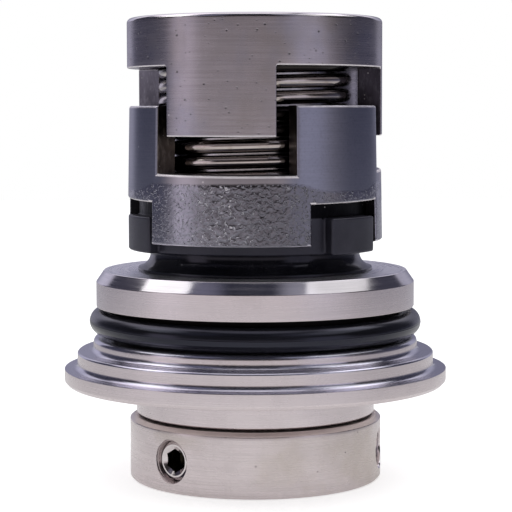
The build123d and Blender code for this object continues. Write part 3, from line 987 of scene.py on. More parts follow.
@dataclass
class RotatingHead:
    """Face holder, rotating face and spring, which turn with the shaft."""

    skirt_r: float = 20.1
    tab_r: float = 19.68
    lug_r: float = 19.95
    spring_r: float = 16.3
    skirt_in_r: float = 18.3
    bore_r: float = 13.0
    skirt_z: float = 37.68
    face_top_z: float = 44.94
    spring_z: float = 46.49
    skirt_notch_z: float = 44.33
    skirt_notch_middle: float = -43.3
    skirt_notch_width: float = 43.3
    skirt_notch_slope: float = 1.5
    notch_z: float = 48.76
    notch_middle: float = -104.8
    notch_width: float = 66.3
    notch_slope: float = 1.7
    top_z: float = 58.59
    edge: float = 0.34
    inner_edge: float = 0.1
    outer_rims: float = 19.3
    rim_reach: float = 1.5
    face_r: float = 18.2
    face_ring_r: float = 15.1
    face_pocket_z: float = 42.29
    face_z: float = 36.23
    lug_z: float = 41.73
    lug_middle: float = -39.1
    lug_width: float = 31.2
    wire_d: float = 2.1
    wire_faces: int = 20
    wire_crease: float = 50.0
    coil_r: float = 14.15
    coil_pitch: float = 2.37
    coil_start: float = 150.0
    coil_ground: float = 0.5
    coil_turns: int = 8
    coil_steps: int = 90
    ceiling_z: float = 65.99

    def build(self) -> list[Solid]:
        """Build the holder, the rotating face and the spring."""
        return [self.build_holder(), self.build_face(), self.build_spring()]

    def build_holder(self) -> Solid:
        """Turn the holder's web, draw its tabs up and its skirt down, and slope its notches."""
        profile = [
            (self.skirt_in_r, self.face_top_z), (self.skirt_in_r, self.skirt_notch_z),
            *((self.wall_r(z), z) for z in (self.skirt_notch_z, self.spring_z, self.notch_z)),
            (self.spring_r, self.notch_z), (self.spring_r, self.spring_z),
            (self.bore_r, self.spring_z), (self.bore_r, self.face_top_z),
        ]
        first = self.notch_middle - self.notch_width / 2
        skirt_first = self.skirt_notch_middle - self.skirt_notch_width / 2
        before = skirt_first - first - self.notch_width
        after = PITCH_DEG - self.notch_width - before - self.skirt_notch_width
        spans = [Span(self.notch_width, 30), Span(before, 3),
                 Span(self.skirt_notch_width, 20), Span(after, 2)] * TAB_COUNT
        holder = turn("face_holder_body", profile, spans, on_shaft(first))
        select_faces(holder, self.is_tab_root)
        extrude_up(self.top_z - self.notch_z)
        swell(self.tab_r / self.wall_r(self.notch_z))
        select_faces(holder, self.is_skirt_root)
        extrude_up(self.skirt_z - self.skirt_notch_z)
        swell(self.skirt_r / self.wall_r(self.skirt_notch_z))
        for i in range(TAB_COUNT):
            self.slope(holder, self.notch_z, self.notch_middle + i * PITCH_DEG,
                       self.notch_width, self.notch_slope)
            self.slope(holder, self.skirt_notch_z, self.skirt_notch_middle + i * PITCH_DEG,
                       self.skirt_notch_width, self.skirt_notch_slope)
        round_rims(holder, self.edge, lambda middle: off_shaft(middle) > self.outer_rims)
        round_edges(holder, self.inner_edge)
        smooth(holder)
        # The skirt's notch flanks and inner wall are painted near-black for their shade.
        dress(holder, Look.HOLDER, (Look.HOLDER_FLANK, is_flank), (Look.EDGE, is_rim),
              (Look.BRIGHT_EDGE, self.is_notch_rim), (Look.GREASE, self.is_in_skirt))
        return fit(holder, Carrier.HEAD, Slot.HOLDER, "face_holder")

    def wall_r(self, z: float) -> float:
        """Radius at a height of the holder's outer wall, which has the casting's draft."""
        share = (z - self.skirt_z) / (self.top_z - self.skirt_z)
        return self.skirt_r + (self.tab_r - self.skirt_r) * share

    def slope(self, holder: Solid, z: float, middle: float, width: float, angle: float) -> None:
        """Tip a notch's floor or roof so that it climbs anticlockwise.

        Args:
            holder: The holder's mesh object.
            z: Height of the floor's middle.
            middle: Angle of the notch's middle round the shaft.
            width: The notch's width.
            angle: How steeply the floor climbs.
        """
        select_faces(holder, lambda spot, normal: is_level_at(spot, normal, z)
                     and in_sector(spot, middle, width))
        rotate(angle, "X", z, orient_matrix=(tuple(outwards(middle)), tuple(outwards(middle + 90.0)), UP))

    def is_tab_root(self, spot: Vector, normal: Vector) -> bool:
        """Whether a face carries one of the holder's upper tabs."""
        top = is_level_at(spot, normal, self.notch_z)
        return top and not in_any(spot, self.notch_middle, self.notch_width)

    def is_skirt_root(self, spot: Vector, normal: Vector) -> bool:
        """Whether a face carries a part of the holder's skirt."""
        under = is_level_at(spot, normal, self.skirt_notch_z)
        return under and not in_any(spot, self.skirt_notch_middle, self.skirt_notch_width)

    def is_notch_rim(self, spot: Vector, normal: Vector) -> bool:
        """Whether a face is the rubbed rim of a notch's floor or roof, which gets a bright painted
        highlight.
        """
        low, high = self.skirt_notch_z - self.rim_reach, self.notch_z + self.rim_reach
        return is_rim(spot, normal) and low < spot.z < high

    def is_in_skirt(self, spot: Vector, normal: Vector) -> bool:
        """Whether a face is a flank of the skirt's notches or the skirt's inner wall."""
        inner = off_shaft(spot) < self.skirt_in_r + 2 * MARGIN and abs(normal.z) < 0.5
        return spot.z < self.face_top_z and (is_flank(spot, normal) or inner)

    def is_shaded(self, spot: Vector, normal: Vector) -> bool:
        """Whether a face of the rotating face lies above its lugs."""
        return spot.z > self.lug_z + MARGIN and abs(normal.z) < LEVEL

    def build_face(self) -> Solid:
        """Turn the rotating face and draw its lugs out to the holder's radius."""
        profile = [
            (self.bore_r, self.face_z), (self.face_r, self.face_z), (self.face_r, self.lug_z),
            (self.face_r, self.face_top_z), (self.face_ring_r, self.face_top_z),
            (self.face_ring_r, self.face_pocket_z), (self.bore_r, self.face_pocket_z),
        ]
        spans = [Span(self.lug_width, 15), Span(PITCH_DEG - self.lug_width, 42)] * TAB_COUNT
        face = turn("rotating_face_body", profile, spans, on_shaft(self.lug_middle - self.lug_width / 2))
        select_faces(face, self.is_lug_root)
        extrude_up(0.0)
        swell(self.lug_r / self.face_r)
        round_edges(face, self.edge)
        smooth(face)
        # The face's wall above its lugs is painted near-black for its shade.
        dress(face, Look.FACE, (Look.GREASE, self.is_shaded))
        return fit(face, Carrier.HEAD, Slot.FACE, "rotating_face")

    def is_lug_root(self, spot: Vector, normal: Vector) -> bool:
        """Whether a face of the rotating face's outer wall carries a lug."""
        outer = off_shaft(spot) > self.face_r - 2 * MARGIN and abs(normal.z) < 0.1
        return outer and spot.z < self.lug_z and in_any(spot, self.lug_middle, self.lug_width)

    def build_spring(self) -> Solid:
        """Wind the wire into a coil and grind its ends flat."""
        clear_selection()
        start = self.spring_z + self.wire_d / 2 - self.coil_ground
        bpy.ops.mesh.primitive_circle_add(vertices=self.wire_faces, radius=self.wire_d / 2 * MM,
                                          fill_type="NOTHING", rotation=(pi / 2, 0.0, 0.0),
                                          location=(self.coil_r * MM, 0.0, start * MM))
        coil = name_piece(bpy.context.active_object, "coil_spring")
        bpy.ops.object.transform_apply(location=True, rotation=True, scale=True)
        modify(coil, "SCREW", screw_offset=self.coil_pitch * MM, iterations=self.coil_turns,
               steps=self.coil_steps, render_steps=self.coil_steps, angle=2 * pi, axis="Z",
               use_merge_vertices=False)
        open_mesh(coil)
        rotate(self.coil_start)
        for height, side in ((self.spring_z, -1.0), (self.ceiling_z, 1.0)):
            bpy.ops.mesh.select_all(action="SELECT")
            bpy.ops.mesh.bisect(plane_co=(0.0, 0.0, height * MM), plane_no=(0.0, 0.0, side),
                                use_fill=True, clear_outer=True)
        weld()
        pick(coil)
        bpy.ops.object.shade_smooth_by_angle(angle=radians(self.wire_crease))
        dress(coil, Look.SPRING)
        return fit(coil, Carrier.DRIVE, Slot.SPRING, "spring")


@dataclass
class GlandGroup:
    """Gland plate with its guide bush, stationary seat and pin, which stay still in the pump."""

    land_z: float = 10.3
    bush_in_r: float = 12.75
    bush_r: float = 14.8
    bush_top_z: float = 19.99
    bush_edge: float = 0.1
    bush_bevel: float = 0.3
    boss_r: float = 18.86
    boss_edge: float = 0.25
    flange_z: float = 15.06
    flange_top_z: float = 17.51
    flange_r: float = 30.19
    flange_bevel_w: float = 0.54
    flange_bevel_h: float = 0.58
    step_two_r: float = 28.15
    step_two_z: float = 20.21
    step_one_r: float = 25.6
    step_one_z: float = 21.65
    fillet: float = 0.95
    step_edge: float = 0.25
    shoulder_r: float = 0.8
    plate_edge: float = 0.09
    plate_sharp: float = 30.0
    groove_r: float = 22.4
    groove_z: float = 22.45
    groove_rise: float = 0.3
    shade_in: float = 2.4
    shade_out: float = 0.8
    pilot_z: float = 27.25
    pilot_r: float = 25.1
    chamfer_z: float = 31.15
    chamfer_w: float = 1.25
    top_z: float = 32.93
    pocket_r: float = 18.2
    pocket_z: float = 23.99
    seat_in_r: float = 13.4
    stem_r: float = 15.5
    seat_z: float = 24.09
    foot_r: float = 18.1
    foot_top_z: float = 26.59
    lip_r: float = 18.5
    lip_z: float = 33.38
    nose_r: float = 16.5
    nose_land_z: float = 35.73
    face_z: float = 36.23
    seat_edge: float = 0.1
    seat_sharp: float = 35.0
    pin_at_r: float = 16.85
    pin_angle: float = 45.0
    pin_r: float = 0.8
    pin_slot_w: float = 1.9
    pin_slot_h: float = 1.95
    pin_foot_z: float = 20.99
    pin_top_z: float = 25.79
    pin_edge: float = 0.12
    pin_slot_l: float = 8.0
    ease: float = 0.02
    overshoot: float = 1.0

    def build(self) -> list[Solid]:
        """Build the plate, the bush, the seat and the pin."""
        return [self.build_plate(), self.build_bush(),
                self.build_seat(), self.build_pin()]

    def build_plate(self) -> Solid:
        """Turn the gland plate with its polished steps, and drill the pin's hole."""
        one, two = self.step_one_r + self.fillet, self.step_two_r + self.fillet
        profile = [
            *arc((two, self.flange_top_z + self.fillet), self.fillet, 180, 270, 8)[::-1],
            (self.step_two_r, self.step_two_z - self.step_edge),
            (self.step_two_r - self.step_edge, self.step_two_z),
            *arc((one, self.step_two_z + self.fillet), self.fillet, 180, 270, 8)[::-1],
            *arc((self.step_one_r - self.shoulder_r, self.step_one_z), self.shoulder_r, 0, 90, 8),
            (self.groove_r, self.groove_z), (self.groove_r, self.pilot_z), (self.pilot_r, self.pilot_z),
            (self.pilot_r, self.chamfer_z), (self.pilot_r - self.chamfer_w, self.top_z),
            (self.pocket_r, self.top_z), (self.pocket_r, self.pocket_z), (self.seat_in_r, self.pocket_z),
            (self.seat_in_r, self.bush_top_z), (self.bush_r + self.ease, self.bush_top_z),
            (self.bush_r + self.ease, self.land_z), (self.boss_r - self.boss_edge, self.land_z),
            (self.boss_r, self.land_z + self.boss_edge), (self.boss_r, self.flange_z),
            (self.flange_r - self.flange_bevel_w, self.flange_z),
            (self.flange_r, self.flange_z + self.flange_bevel_h), (self.flange_r, self.flange_top_z),
        ]
        plate = turn("gland_plate_body", profile, FINE)
        round_edges(plate, self.plate_edge, 2, self.plate_sharp)
        hole_r = self.pin_r + self.ease
        bore(plate, self.pin_spindle(),
             [(hole_r, self.pin_foot_z), (hole_r, self.pocket_z + self.overshoot)], 32)
        smooth(plate)
        dress(plate, Look.PLATE, (Look.POLISHED, self.is_polished), (Look.PLATE_FACE, self.is_top),
              (Look.STEP, self.is_step), (Look.GREASE, self.is_in_groove))
        return fit(plate, Carrier.GLAND, Slot.PLATE, "gland_plate")

    def is_polished(self, spot: Vector, normal: Vector) -> bool:
        """Whether a face of the plate is part of its bright chamfer, steps or fillets."""
        radius = off_shaft(spot)
        steps = radius > self.groove_r + 2 * MARGIN and spot.z > self.flange_top_z - MARGIN
        level = steps and spot.z < self.groove_z + self.groove_rise and normal.z > 0.12
        chamfer = radius > self.pilot_r - self.chamfer_w - MARGIN and spot.z > self.chamfer_z
        return level or (chamfer and normal.z > 0.2)

    def is_top(self, spot: Vector, normal: Vector) -> bool:
        """Whether a face is the plate's level top."""
        return normal.z > 0.95 and spot.z > self.top_z - MARGIN

    def is_step(self, spot: Vector, normal: Vector) -> bool:
        """Whether a face belongs to the steps below the ring, their fillets or the shoulder."""
        return self.is_polished(spot, normal) and spot.z < self.groove_z + self.groove_rise

    def is_in_groove(self, spot: Vector, normal: Vector) -> bool:
        """Whether a face is a wall of the ring's groove, which is painted near-black for its shade."""
        beside = self.groove_r - self.shade_in < off_shaft(spot) < self.groove_r + self.shade_out
        return beside and self.groove_z - 2 * MARGIN < spot.z < self.pilot_z + MARGIN

    def pin_spindle(self) -> Spindle:
        """Spindle on the anti-rotation pin's axis."""
        return Spindle(outwards(self.pin_angle) * self.pin_at_r)

    def build_bush(self) -> Solid:
        """Turn the guide bush."""
        profile = [
            (self.bush_in_r, self.land_z), (self.bush_r, self.land_z),
            (self.bush_r, self.bush_top_z - self.bush_bevel),
            (self.bush_r - self.bush_bevel, self.bush_top_z), (self.bush_in_r, self.bush_top_z),
        ]
        bush = turn("guide_bush_body", profile)
        round_edges(bush, self.bush_edge, 2)
        smooth(bush)
        dress(bush, Look.BUSH)
        return fit(bush, Carrier.GLAND, Slot.BUSH, "guide_bush")

    def build_seat(self) -> Solid:
        """Turn the stationary seat with its flared nose, and mill the slot for the pin."""
        reach, rise = self.lip_r - self.nose_r, self.nose_land_z - self.lip_z
        flare_r = (reach ** 2 + rise ** 2) / (2 * reach)
        centre = (self.nose_r + flare_r, self.nose_land_z)
        foot = degrees(atan2(-rise, self.lip_r - centre[0])) % FULL_TURN
        profile = [
            (self.nose_r, self.face_z), (self.seat_in_r, self.face_z), (self.seat_in_r, self.seat_z),
            (self.foot_r, self.seat_z), (self.foot_r, self.foot_top_z), (self.stem_r, self.foot_top_z),
            (self.stem_r, self.top_z), (self.lip_r, self.top_z),
            *arc(centre, flare_r, foot, 180.0, 16),
        ]
        seat = turn("stationary_seat_body", profile)
        round_edges(seat, self.seat_edge, 3, self.seat_sharp)
        clear_selection()
        middle = outwards(self.pin_angle) * (self.pin_at_r + (self.pin_slot_l - self.pin_slot_w) / 2)
        middle.z = self.pocket_z + self.pin_slot_h / 2
        bpy.ops.mesh.primitive_cube_add(size=MM, location=middle * MM,
                                        rotation=(0.0, 0.0, radians(self.pin_angle)))
        tool = bpy.context.active_object
        bpy.ops.transform.resize(value=(self.pin_slot_l, self.pin_slot_w, self.pin_slot_h),
                                 orient_type="LOCAL")
        bpy.ops.object.transform_apply(location=True, rotation=True, scale=True)
        cut(seat, tool)
        smooth(seat)
        dress(seat, Look.SEAT)
        return fit(seat, Carrier.GLAND, Slot.SEAT, "stationary_seat")

    def build_pin(self) -> Solid:
        """Turn the small pin between the plate and the seat."""
        edge = self.pin_edge
        profile = [
            (0.0, self.pin_foot_z), (self.pin_r - edge, self.pin_foot_z),
            (self.pin_r, self.pin_foot_z + edge), (self.pin_r, self.pin_top_z - edge),
            (self.pin_r - edge, self.pin_top_z), (0.0, self.pin_top_z),
        ]
        pin = turn("anti_rotation_pin_body", profile, (Span(FULL_TURN, 40),), self.pin_spindle(),
                   closed=False)
        smooth(pin)
        dress(pin, Look.SCREW)
        return fit(pin, Carrier.GLAND, Slot.SCREW, "anti_rotation_pin")


class RingKind(Enum):
    """The rubber rings: node, body, section, inner radius and middle height."""

    GLAND = ("gland_o_ring", Carrier.GLAND, 3.8, 22.4, 24.85)
    SEAT = ("seat_o_ring", Carrier.GLAND, 2.7, 15.5, 28.04)
    FACE = ("face_o_ring", Carrier.HEAD, 2.35, 12.75, 43.615)
    SHAFT = ("shaft_o_ring", Carrier.DRIVE, 2.0, 11.05, 70.09)


@dataclass
class RubberRing:
    """Moulded ring with a faint flash line round its outside."""

    kind: RingKind
    ease: float = 0.02
    flash: float = 0.018
    flash_half: float = 0.03
    flash_root: float = 0.004
    sag: float = 0.85
    lean: float = 0.3

    def build(self) -> Solid:
        """Turn the ring's section about the shaft axis."""
        node, carrier, section, inner_r, height = self.kind.value
        half = section / 2 - self.ease
        middle = inner_r + section / 2
        outline = arc((middle, height), half, 4.0, 356.0, 60)
        root = middle + half - self.flash_root
        flash = [(root, height - self.flash_half), (root + self.flash, height),
                 (root, height + self.flash_half)]
        ring = turn(f"{node}_rubber", outline + flash, (Span(FULL_TURN, 240),))
        pick(ring)
        bpy.ops.object.shade_smooth()
        if self.kind is RingKind.GLAND:
            self.tip(ring, height)
        dress(ring, Look.RUBBER)
        return fit(ring, carrier, Slot.RUBBER, node)

    def tip(self, ring: Solid, height: float) -> None:
        """Let a ring hang crooked in its groove, low at the front and high at the left.

        Args:
            ring: The ring's mesh object.
            height: Height of its middle.
        """
        open_mesh(ring)
        for axis, angle in (("X", self.sag), ("Y", self.lean)):
            rotate(angle, axis, height)
        close_mesh()


@dataclass
class DriveGroup:
    """Sleeve, drive collar, snap ring and set screws, which clamp the seal to the shaft."""

    bore_r: float = 11.05
    sleeve_r: float = 12.7
    sleeve_z: float = 0.3
    head_r: float = 14.8
    head_z: float = 68.19
    sleeve_top_z: float = 71.99
    ring_groove_z: float = 68.89
    ring_groove_h: float = 2.4
    ring_groove_r: float = 13.05
    snap_groove_r: float = 12.1
    snap_z: float = 0.5
    snap_top_z: float = 1.5
    snap_in_r: float = 12.12
    snap_out_r: float = 14.12
    snap_gap: float = 30.0
    snap_gap_middle: float = 60.0
    snap_edge: float = 0.12
    sleeve_edge: float = 0.08
    collar_edge: float = 0.1
    collar_sharp: float = 28.0
    crease: float = 30.0
    collar_in_r: float = 12.72
    recess_r: float = 14.42
    collar_r: float = 19.9
    collar_top_z: float = 10.0
    land_r: float = 14.8
    land_z: float = 10.3
    bevel_w: float = 0.8
    bevel_h: float = 0.55
    foot_edge: float = 0.35
    screw_angles: tuple[float, ...] = (-130.3, -10.3, 109.7)
    screw_z: float = 4.9
    hole_r: float = 3.05
    hole_end: float = 19.3
    mouth_r: float = 3.24
    mouth_end: float = 19.72
    flare_r: float = 3.74
    flare_end: float = 20.3
    drill_start: float = 10.0
    wall_start: float = 12.0
    sleeve_hole_start: float = 8.0
    sleeve_hole_r: float = 2.4
    screw_r: float = 3.0
    thread_pitch: float = 1.0
    thread_depth: float = 0.5
    thread_crest: float = 0.15
    thread_flank: float = 0.4
    thread_root: float = 0.1
    thread_out: float = 0.2
    screw_tip: float = 11.2
    screw_shoulder: float = 12.9
    screw_face: float = 19.1
    point_r: float = 2.0
    point_edge: float = 0.25
    hex_flat: float = 3.25
    hex_depth: float = 3.2
    hex_tip: float = 0.5
    socket_side: float = 0.03
    socket_rim: float = 0.12
    funnel_r: float = 2.3
    funnel_depth: float = 1.35
    funnel_rise: float = 0.02
    overshoot: float = 0.5
    head_edge: float = 0.3

    def build(self) -> list[Solid]:
        """Build the sleeve, the collar, the snap ring and the three screws."""
        return [self.build_sleeve(), self.build_collar(), self.build_snap_ring(), *self.build_screws()]

    def build_sleeve(self) -> Solid:
        """Turn the sleeve with its head and grooves, and drill it for the screw points."""
        edge = self.head_edge
        top = self.ring_groove_z + self.ring_groove_h
        profile = [
            (self.bore_r, self.sleeve_z), (self.sleeve_r, self.sleeve_z), (self.sleeve_r, self.snap_z),
            (self.snap_groove_r, self.snap_z), (self.snap_groove_r, self.snap_top_z),
            (self.sleeve_r, self.snap_top_z), (self.sleeve_r, self.head_z), (self.head_r, self.head_z),
            (self.head_r, self.sleeve_top_z - edge), (self.head_r - edge, self.sleeve_top_z),
            (self.bore_r, self.sleeve_top_z), (self.bore_r, top), (self.ring_groove_r, top),
            (self.ring_groove_r, self.ring_groove_z), (self.bore_r, self.ring_groove_z),
        ]
        sleeve = turn("shaft_sleeve_body", profile)
        round_edges(sleeve, self.sleeve_edge, 2)
        hole = [(self.sleeve_hole_r, self.sleeve_hole_start), (self.sleeve_hole_r, self.collar_r)]
        for angle in self.screw_angles:
            bore(sleeve, radial(angle, self.screw_z), hole)
        smooth(sleeve)
        dress(sleeve, Look.SLEEVE)
        return fit(sleeve, Carrier.DRIVE, Slot.SLEEVE, "shaft_sleeve")

    def build_collar(self) -> Solid:
        """Turn the drive collar, round its rims and cut its three countersunk screw holes."""
        profile = [
            (self.collar_in_r, self.snap_top_z), (self.recess_r, self.snap_top_z), (self.recess_r, 0.0),
            (self.collar_r - self.foot_edge, 0.0),
            *run((self.collar_r, self.foot_edge), (self.collar_r, self.collar_top_z - self.bevel_h), 14),
            (self.collar_r - self.bevel_w, self.collar_top_z), (self.land_r, self.collar_top_z),
            (self.land_r, self.land_z), (self.collar_in_r, self.land_z),
        ]
        collar = turn("drive_collar_body", profile, FINE)
        round_edges(collar, self.collar_edge, 2, self.collar_sharp)
        hole = [(self.hole_r, self.drill_start), (self.hole_r, self.hole_end),
                (self.mouth_r, self.mouth_end), (self.flare_r, self.flare_end)]
        for angle in self.screw_angles:
            bore(collar, radial(angle, self.screw_z), hole)
        smooth(collar, self.crease)
        # The top bevel gets the lighter, painted-highlight copy of the collar's steel.
        dress(collar, Look.COLLAR, (Look.SCREW, self.is_in_hole), (Look.BEVEL, self.is_bevel))
        return fit(collar, Carrier.DRIVE, Slot.COLLAR, "drive_collar")

    def is_bevel(self, spot: Vector, normal: Vector) -> bool:
        """Whether a face is the bevel round the collar's top."""
        return normal.z > 0.3 and -self.bevel_h - MARGIN < spot.z - self.collar_top_z < MARGIN

    def is_in_socket(self, axis: Spindle, spot: Vector) -> bool:
        """Whether a place on a screw lies in its hexagonal socket."""
        away = spot - Vector(axis.origin)
        along = away.dot(Vector(axis.along))
        off_axis = (away - Vector(axis.along) * along).length
        inside = off_axis < self.hex_flat / sqrt(3.0) - self.socket_side
        bottom = self.screw_face - self.hex_depth - self.hex_tip - 2 * MARGIN
        return inside and bottom < along < self.screw_face - self.socket_rim

    def is_in_hole(self, spot: Vector, normal: Vector) -> bool:
        """Whether a face of the collar lies on a screw hole's wall or mouth."""
        for angle in self.screw_angles:
            along = outwards(angle)
            away = spot - Vector((0.0, 0.0, self.screw_z))
            off_axis = away - along * away.dot(along)
            off = off_axis.length
            facing = off > 2 * MARGIN and normal.dot(off_axis.normalized()) < -0.3
            if facing and away.dot(along) > self.wall_start and off < self.mouth_r + 2 * MARGIN:
                return True
        return False

    def build_snap_ring(self) -> Solid:
        """Turn the open ring that holds the collar on the sleeve."""
        profile = [(self.snap_in_r, self.snap_z), (self.snap_out_r, self.snap_z),
                   (self.snap_out_r, self.snap_top_z), (self.snap_in_r, self.snap_top_z)]
        start = self.snap_gap_middle + self.snap_gap / 2
        ring = turn("snap_ring_body", profile, (Span(FULL_TURN - self.snap_gap, 132),), on_shaft(start),
                    capped=True)
        round_edges(ring, self.snap_edge, 2)
        smooth(ring)
        dress(ring, Look.SCREW)
        return fit(ring, Carrier.DRIVE, Slot.SPRING, "snap_ring")

    def build_screws(self) -> list[Solid]:
        """Make one set screw, turn a copy of it to each other hole and fit all three."""
        first = self.screw_angles[0]
        master = self.model_screw(radial(first, self.screw_z))
        screws = [master] + [turned_copy(master, angle - first) for angle in self.screw_angles[1:]]
        for number, screw in enumerate(screws, start=1):
            name_piece(screw, f"set_screw_{number}_body")
            fit(screw, Carrier[f"SCREW_{number}"], Slot.SCREW, f"set_screw_{number}")
        return screws

    def model_screw(self, axis: Spindle) -> Solid:
        """Turn a set screw with its dog point and thread, and broach its hexagonal socket.

        Args:
            axis: The spindle that the screw lies on, pointing outwards.

        Returns:
            The dressed screw.
        """
        root = self.screw_r - self.thread_depth
        crest, fall = self.thread_crest, self.thread_crest + self.thread_flank
        profile = [
            (0.0, self.screw_tip), (self.point_r - self.point_edge, self.screw_tip),
            (self.point_r, self.screw_tip + self.point_edge), (self.point_r, self.screw_shoulder),
            (root, self.screw_shoulder),
        ]
        at = self.screw_shoulder + self.thread_depth
        while at + self.thread_pitch < self.screw_face - self.thread_out:
            profile += [(self.screw_r, at), (self.screw_r, at + crest), (root, at + fall),
                        (root, at + fall + self.thread_root)]
            at += self.thread_pitch
        profile += [(self.screw_r, at), (self.screw_r, self.screw_face - self.thread_depth),
                    (root, self.screw_face), (0.0, self.screw_face)]
        screw = turn("set_screw_body", profile, (Span(FULL_TURN, 72),), axis, closed=False)
        corner, end = self.hex_flat / sqrt(3.0), self.screw_face + self.overshoot
        bore(screw, axis, [(corner, self.screw_face - self.hex_depth), (corner, end)], 6, self.hex_tip)
        rim = self.screw_face + self.funnel_rise
        bore(screw, axis, [(self.funnel_r, rim), (self.funnel_r, end)], 48,
             self.funnel_depth + self.funnel_rise)
        smooth(screw, self.crease)
        dress(screw, Look.SCREW, (Look.SOCKET, lambda spot, normal: self.is_in_socket(axis, spot)))
        return screw


def heading(bearing_deg: float, rise: float) -> Vector:
    """Direction seen from the seal, by its bearing from the front to the right and its rise."""
    turned, up = radians(bearing_deg), radians(rise)
    return Vector((sin(turned) * cos(up), -cos(turned) * cos(up), sin(up)))


@dataclass(frozen=True)
class Softbox:
    """Rectangular lamp that looks at the seal from a direction.

    Its bearing runs from the front of the seal to the right, its rise from the table up, in
    degrees. Its width and height are metres, its power watts.
    """

    name: str
    bearing: float
    rise: float
    width: float
    height: float
    power: float
    aim: float = 0.03
    distance: float = 0.58

    def hang(self) -> None:
        """Add the lamp to the scene."""
        clear_selection()
        away = heading(self.bearing, self.rise)
        spot = Vector((0.0, 0.0, self.aim)) + away * self.distance
        bpy.ops.object.light_add(type="AREA", location=spot)
        lamp = bpy.context.active_object
        lamp.name = self.name
        lamp.rotation_euler = away.to_track_quat("Z", "Y").to_euler()
        lamp.data.shape = "RECTANGLE"
        lamp.data.size = self.width
        lamp.data.size_y = self.height
        lamp.data.energy = self.power


@dataclass
class Studio:
    """White table and backdrop, two softboxes, a dim room in front, and the camera."""

    camera_at: tuple[float, float, float] = (0.155, -278.4, 57.23)
    camera_pitch: float = 85.41
    camera_roll: float = -0.13
    lens: float = 123.9
    table_front: float = -420.0
    table_back: float = 900.0
    table_side: float = 620.0
    table_z: float = -0.1
    camera_lift: float = 0.52
    softboxes: tuple[Softbox, ...] = (Softbox("left_softbox", -88.0, 45.0, 0.27, 0.24, 0.33),
                                      Softbox("right_softbox", 89.0, 50.0, 0.54, 0.24, 0.43))

    def build(self) -> None:
        """Set up the table, the lights, the room and the camera."""
        self.build_table()
        world = bpy.data.worlds.new("studio_room")
        bpy.context.scene.world = world
        Room(world).build()
        for softbox in self.softboxes:
            softbox.hang()
        self.place_camera()

    def build_table(self) -> None:
        """Lay the pale table under the seal."""
        clear_selection()
        depth = self.table_back - self.table_front
        spot = (0.0, (self.table_front + depth / 2) * MM, self.table_z * MM)
        bpy.ops.mesh.primitive_plane_add(size=MM, location=spot)
        table = name_piece(bpy.context.active_object, "table")
        bpy.ops.transform.resize(value=(2 * self.table_side, depth, 1.0))
        bpy.ops.object.transform_apply(location=True, rotation=True, scale=True)
        table.data.materials.append(self.table_finish())

    def table_finish(self) -> bpy.types.Material:
        """White table: brighter for the camera, and for metal a bright pool by the seal on a dim ground."""
        graph = Graph("table_white")
        path = graph.add("ShaderNodeLightPath")
        mirrored = path.outputs["Is Glossy Ray"]
        x, y, _ = graph.axes()
        off = graph.radius()
        colour = graph.blend(graph.noise(graph.place, 30.0, 2.0), (0.88, 0.88, 0.885), (0.90, 0.90, 0.90))
        far = graph.level(off, 0.08, 0.28)
        front_left = graph.plus(graph.times(x, -0.42), graph.times(y, -0.91))
        shade = graph.times(far, graph.level(front_left, -0.05, 0.28, 0.60, 0.0))
        colour = graph.blend(graph.times(mirrored, shade), colour, (0.05, 0.05, 0.055))
        ahead = graph.length(x, graph.plus(y, 0.10))
        pool = graph.plus(graph.level(off, 0.02, 0.07, 0.30, 0.09), graph.level(off, 0.14, 0.25, 0.0, 0.07))
        pool = graph.plus(pool, graph.level(ahead, 0.02, 0.11, 0.15, 0.0))
        lift = graph.times(path.outputs["Is Camera Ray"], self.camera_lift)
        tint = graph.blend(graph.times(mirrored, far), (1.0, 1.0, 1.0), (0.90, 0.92, 1.20))
        graph.surface(Base_Color=colour, Roughness=0.7, Specular_IOR_Level=0.1, Emission_Color=tint,
                      Emission_Strength=graph.plus(lift, graph.times(mirrored, pool)))
        return graph.material

    def place_camera(self) -> None:
        """Put the camera at the photograph's place."""
        clear_selection()
        bpy.ops.object.camera_add(location=Vector(self.camera_at) * MM)
        camera = bpy.context.active_object
        camera.name = "camera"
        tilt = Matrix.Rotation(radians(self.camera_pitch), 4, "X")
        roll = Matrix.Rotation(radians(self.camera_roll), 4, "Z")
        camera.rotation_euler = (tilt @ roll).to_euler()
        camera.data.lens = self.lens
        camera.data.sensor_width = 36.0
        camera.data.clip_start = 0.01
        camera.data.clip_end = 20.0
        bpy.context.scene.camera = camera
        bpy.context.scene.view_settings.view_transform = "Standard"


@dataclass(frozen=True)
class Glow:
    """Soft patch of the room: bearing, rise and half width in degrees, its full share, its colour."""

    bearing: float
    rise: float
    half: float
    core: float
    tint: Colour


